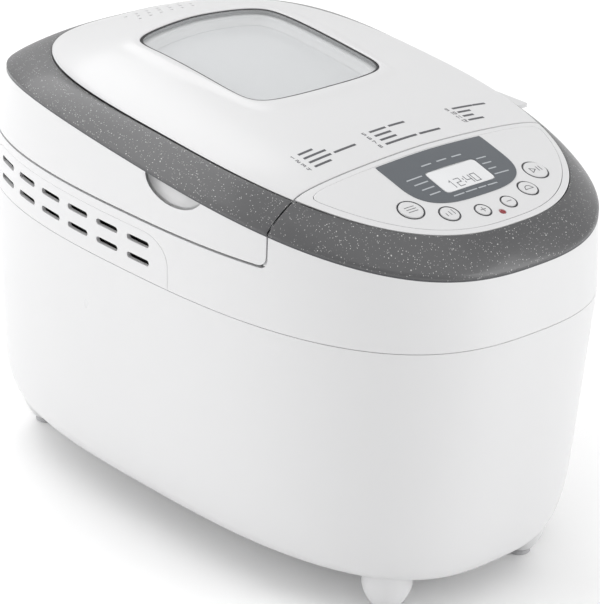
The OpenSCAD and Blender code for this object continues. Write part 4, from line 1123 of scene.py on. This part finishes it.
def panel_marks():
    """Light bars round the display, and plain signs on the button caps."""
    def place(x, y):
        return x, y, height_at(x, y) + 0.33

    solids = []
    for x in (-15, -3.6, 7.8):
        solids.append(ribbon(dash(x, -118.2, 6.4), 0.85, place, 0.05))
    for i, y in enumerate((-124.5, -129.2, -133.9, -138.6)):
        solids.append(ribbon(dash(-32 + 1.2 * i, y, 10.5 - 1.2 * i), 0.8, place, 0.05))
        solids.append(ribbon(dash(20.6, y, (6.5, 6, 5, 10)[i]), 0.8, place, 0.05))
    for x, w in ((-16.5, 7), (-7.5, 7.5), (2, 5), (9, 6.5)):
        solids.append(ribbon(dash(x, -144.7, w), 0.75, place, 0.05))
    v, f = merge(solids)
    piece("panel_marks", v, f, "housing", "mark_light")
    signs = {
        "menu": [[(-3.2, 1.9), (3.2, 1.9)], [(-3.2, 0), (3.2, 0)], [(-3.2, -1.9), (3.2, -1.9)]],
        "size": [[(-2.6, -1.6), (-2.6, 0.4)], [(0, -1.6), (0, 1.2)], [(2.6, -1.6), (2.6, 2)]],
        "plus": [[(-1.7, 0), (1.7, 0)], [(0, -1.7), (0, 1.7)]],
        "minus": [[(-1.5, 0), (1.5, 0)]],
        "crust": [[(-2.8, -1.2), (-1.7, 0.9), (0, 1.6), (1.7, 0.9), (2.8, -1.2)],
                  [(-2.8, -1.2), (2.8, -1.2)]],
        "start": [[(-3.4, -1.9), (-3.4, 1.9), (-0.3, 0), (-3.4, -1.9)],
                  [(1.4, -1.7), (1.4, 1.7)], [(3.4, -1.7), (3.4, 1.7)]],
    }
    for name, lines in signs.items():
        x, y, r = BUTTONS[name]
        solids = [ribbon(s, 0.42, lambda a, b: (a, b, cap_height(math.hypot(a, b), r) + 0.01), 0.06)
                  for s in lines]
        v, f = merge(solids)
        piece(name + "_sign", moved(v, deck_place(x, y)), f, name + "_key", "mark_dark")


# ---------- hinge cover, pan, liner ----------


def hinge_cover():
    t = around(64)
    n = 10
    nose = np.linspace(0, math.pi / 2, n)
    stations = [(HINGE_R - 3 + 3 * math.sin(a), HINGE_Y0 + 3 - 3 * math.cos(a)) for a in nose]
    stations += [(r, HINGE_Y0 + HINGE_Y1 - y) for r, y in stations[::-1]]
    stations = [(0.001, HINGE_Y0)] + stations + [(0.001, HINGE_Y1)]
    pts = np.stack([stack(HINGE_X + r * np.cos(t), y, HINGE_Z + r * np.sin(t))
                    for r, y in stations], 1)
    v, f = grid(pts, close_u=True)
    gaps = []
    for y in KNUCKLE_YS:
        turn = Matrix.Rotation(-math.pi / 2, 4, "X")
        gaps.append(lathe([(0, 0), (HINGE_R + 0.6, 0), (HINGE_R + 0.6, 15.4), (0, 15.4)], 64,
                          (HINGE_X, y - 7.7, HINGE_Z), turn))
    cutter = joined("knuckle_cutter", gaps)
    web = tool("hinge_web", *box(HINGE_X - 5.2, HINGE_X + 2, HINGE_Y0 + 3, HINGE_Y1 - 3,
                                 BEZEL_Z + 0.02, HINGE_Z - 3))
    o = piece("hinge_barrel", v, f, "housing", "white_gloss", ["hinge_cover"])
    combine_with(o, web, "UNION")
    combine_with(o, cutter, "DIFFERENCE")
    round_edges(o, 0.4, 2)
    settle(o)
    finish_surface(o, "white_gloss")
    drop(web, cutter)


def loop(half_w, half_l, r, z):
    """A level rounded rectangle round the oven's middle."""
    t = around(OVEN_COLUMNS)
    d = rounded_radius(half_w, half_l, r, t)
    return stack(d * np.cos(t), OVEN_Y + d * np.sin(t), z)


def pan():
    """Bread pan: one pressed sheet with a rolled rim, on a cast base ring."""
    def wall(z, inset):
        s = 5 * (PAN_TOP - z) / (PAN_TOP - PAN_FLOOR - 6)
        return loop(PAN_W - s - inset, PAN_L - s - inset, 18 - inset, z)

    foot = np.linspace(0, math.pi / 2, 8)
    out = [loop(PAN_W * k, PAN_L * k, 16 * k, PAN_FLOOR) for k in (0.02, 0.4, 0.75)]
    out += [loop(PAN_W - 5 - 5.5 * (1 - math.sin(a)), PAN_L - 5 - 5.5 * (1 - math.sin(a)), 15,
                 PAN_FLOOR + 6 * (1 - math.cos(a))) for a in foot]
    out += [wall(z, 0) for z in np.linspace(PAN_FLOOR + 10, PAN_TOP - 2, 14)]
    rim = [loop(PAN_W + 0.6, PAN_L + 0.6, 18.6, PAN_TOP - 1.9),
           loop(PAN_W + 2.6, PAN_L + 2.6, 20.6, PAN_TOP - 1.9),
           loop(PAN_W + 3, PAN_L + 3, 21, PAN_TOP - 1.0),
           loop(PAN_W + 2.4, PAN_L + 2.4, 20.4, PAN_TOP - 0.1),
           loop(PAN_W - 0.2, PAN_L - 0.2, 17.8, PAN_TOP)]
    inside = [wall(z, 1.5) for z in np.linspace(PAN_TOP - 1.4, PAN_FLOOR + 10, 14)]
    inside += [loop(PAN_W - 6.5 - 5.5 * (1 - math.sin(a)), PAN_L - 6.5 - 5.5 * (1 - math.sin(a)),
                    13.5, PAN_FLOOR + 2.2 + 5 * (1 - math.cos(a))) for a in foot[::-1]]
    inside += [loop(PAN_W * k, PAN_L * k, 14 * k, PAN_FLOOR + 2.2) for k in (0.75, 0.4, 0.02)]
    cols = np.stack(out + rim + inside, 1)
    v, f = grid(cols, close_u=True)
    f += end_caps(*cols.shape[:2])
    bores = [lathe([(0, -8), (9.0, -8), (9.0, 12), (0, 12)], 48, (0, OVEN_Y + y, PAN_FLOOR))
             for y in (-52, 52)]
    cutter = joined("shaft_cutter", bores)
    piece("pan_shell", v, f, "pan", "nonstick", ["bread_pan"], cutters=[cutter], angle=42)
    drop(cutter)
    ring = [loop(PAN_W - 14, PAN_L - 14, 18, z) for z in (76, 55, 54)]
    ring += [loop(PAN_W - 15.5, PAN_L - 15.5, 16.5, z) for z in (54, 55, 76)]
    v, f = grid(np.stack(ring, 1), close_u=True, close_v=True)
    piece("pan_foot", v, f, "pan", "nonstick", angle=42)
    solids = []
    for side in (-1, 1):
        turn = Matrix.Rotation(-side * math.pi / 2, 4, "X")
        solids.append(lathe([(0, -1.8), (7, -1.8), (7, 2.6), (6.4, 3.4), (2.1, 3.4), (2.1, -0.4),
                             (0, -0.4)], 48, (0, OVEN_Y + side * PAN_L, 160), turn))
    v, f = merge(solids)
    piece("pan_lugs", v, f, "pan", "nonstick", angle=42)


def liner():
    """Pressed lid liner: a smooth hood with a flange and a window opening."""
    t = around(OVEN_COLUMNS)
    cols = [loop(86, 127.5, 27, 203.6), loop(80, 122, 21, 203.6), loop(78.6, 120.6, 19.6, 204.6)]
    cols += [loop(78.4 - 7.4 * s, 120.4 - 1.4 * s, 19 - 2 * s, 205.5 + 28 * s)
             for s in np.linspace(0, 1, 6)]
    turn = np.linspace(0, math.pi / 2, 7)[1:]
    cols += [loop(71 - 4.5 * (1 - math.cos(a)), 119 - 4.5 * (1 - math.cos(a)), 17,
                  233.5 + 4.5 * math.sin(a)) for a in turn]
    x, y = window_outline(t, -12)
    hole_r = np.hypot(x, y - OVEN_Y)
    a = np.arctan2(y - OVEN_Y, x)
    order = np.argsort(a % (2 * math.pi))
    radius = np.interp(t, (a % (2 * math.pi))[order], hole_r[order], period=2 * math.pi)
    hole = stack(radius * np.cos(t), OVEN_Y + radius * np.sin(t), 238.0)
    last = cols[-1]
    cols += [last + (hole - last) * s for s in (0.3, 0.7, 1.0)]
    v, f = grid(np.stack(cols, 1), close_u=True)
    piece("liner_hood", v, f, "lid", "lid_metal", ["lid_liner"], thick=-0.8, angle=42)


# ---------- CAD nodes that stay ----------


def dress_cad():
    record_slots = {s["node"]: s["material_slot"] for s in frame["record"]["subparts"]}
    for name, o in frame["nodes"].items():
        if not o.hide_render:
            o.data.materials.clear()
            o.data.materials.append(mats[record_slots[name]])


# ---------- room, lights and camera ----------


def stage():
    n = 40
    rise = np.linspace(0, math.pi / 2, n)
    back = 2.6
    profile = [(-4.0, 0.0)] + [(back + math.sin(a), 1 - math.cos(a)) for a in rise] + [(back + 1, 4.0)]
    az = math.radians(-44.0)
    verts, faces = [], []
    for side in (-4.5, 4.5):
        for d, z in profile:
            verts.append((math.cos(az) * side - math.sin(az) * d,
                          math.sin(az) * side + math.cos(az) * d, z))
    k = len(profile)
    for i in range(k - 1):
        faces.append((i, i + 1, k + i + 1, k + i))
    mesh = bpy.data.meshes.new("floor_sweep")
    mesh.from_pydata(verts, [], faces)
    for p in mesh.polygons:
        p.use_smooth = True
    o = bpy.data.objects.new("floor_sweep", mesh)
    bpy.context.scene.collection.objects.link(o)
    mesh.materials.append(material("pale_floor", (0.99, 0.99, 0.99), rough=0.7, grain=0.02))
    world = bpy.data.worlds.new("soft_room")
    world.use_nodes = True
    world.node_tree.nodes["Background"].inputs["Color"].default_value = (1, 1, 1, 1)
    world.node_tree.nodes["Background"].inputs["Strength"].default_value = 0.6
    bpy.context.scene.world = world

    def softbox(name, at, towards, size, power):
        light = bpy.data.lights.new(name, "AREA")
        light.shape, light.size, light.size_y = "RECTANGLE", size[0], size[1]
        light.energy = power
        lamp = bpy.data.objects.new(name, light)
        lamp.location = at
        lamp.rotation_euler = (Vector(towards) - Vector(at)).to_track_quat("-Z", "Y").to_euler()
        bpy.context.scene.collection.objects.link(lamp)

    softbox("top_back", (-0.15, 1.1, 1.5), (0, 0, 0.15), (2.2, 1.0), 13)
    softbox("key_left", (-1.7, 0.95, 0.8), (0, 0, 0.12), (1.4, 1.2), 15)
    softbox("floor_fill", (-0.2, -0.9, 2.4), (0, 0, 0), (2.6, 2.6), 14)
    softbox("front_right", (0.95, -1.8, 0.7), (0, 0, 0.12), (1.2, 1.4), 16)


def camera():
    """The fitted view: direction, roll, distance and lens."""
    az, el, roll = math.radians(-44.018), math.radians(23.986), math.radians(2.700)
    distance, lens = 1735.62 * MM, 179.79
    back = Vector((math.sin(az) * math.cos(el), -math.cos(az) * math.cos(el), math.sin(el)))
    right = (-back).cross(Vector((0, 0, 1))).normalized()
    up = right.cross(-back)
    right2 = right * math.cos(roll) + up * math.sin(roll)
    up2 = up * math.cos(roll) - right * math.sin(roll)
    target = right2 * 10.311 * MM + Vector((0, 0, 116.363 * MM))
    data = bpy.data.cameras.new("view")
    data.lens, data.sensor_width, data.clip_end = lens, 36, 30
    o = bpy.data.objects.new("view", data)
    axes = Matrix((right2, up2, back)).transposed().to_4x4()
    o.matrix_world = Matrix.Translation(target + back * distance) @ axes
    bpy.context.scene.collection.objects.link(o)
    bpy.context.scene.camera = o
    bpy.context.scene.view_settings.view_transform = "Standard"


camera()
stage()
lower_housing()
feet()
upper_housing()
ring_piece("front_speckled_ring", "housing", DECK_Y, False, ["front_ring"])
lid_skirt()
lid_shell()
inner_walls()
window()
deck()
buttons()
display()
programme_marks()
panel_marks()
hinge_cover()
pan()
liner()
dress_cad()
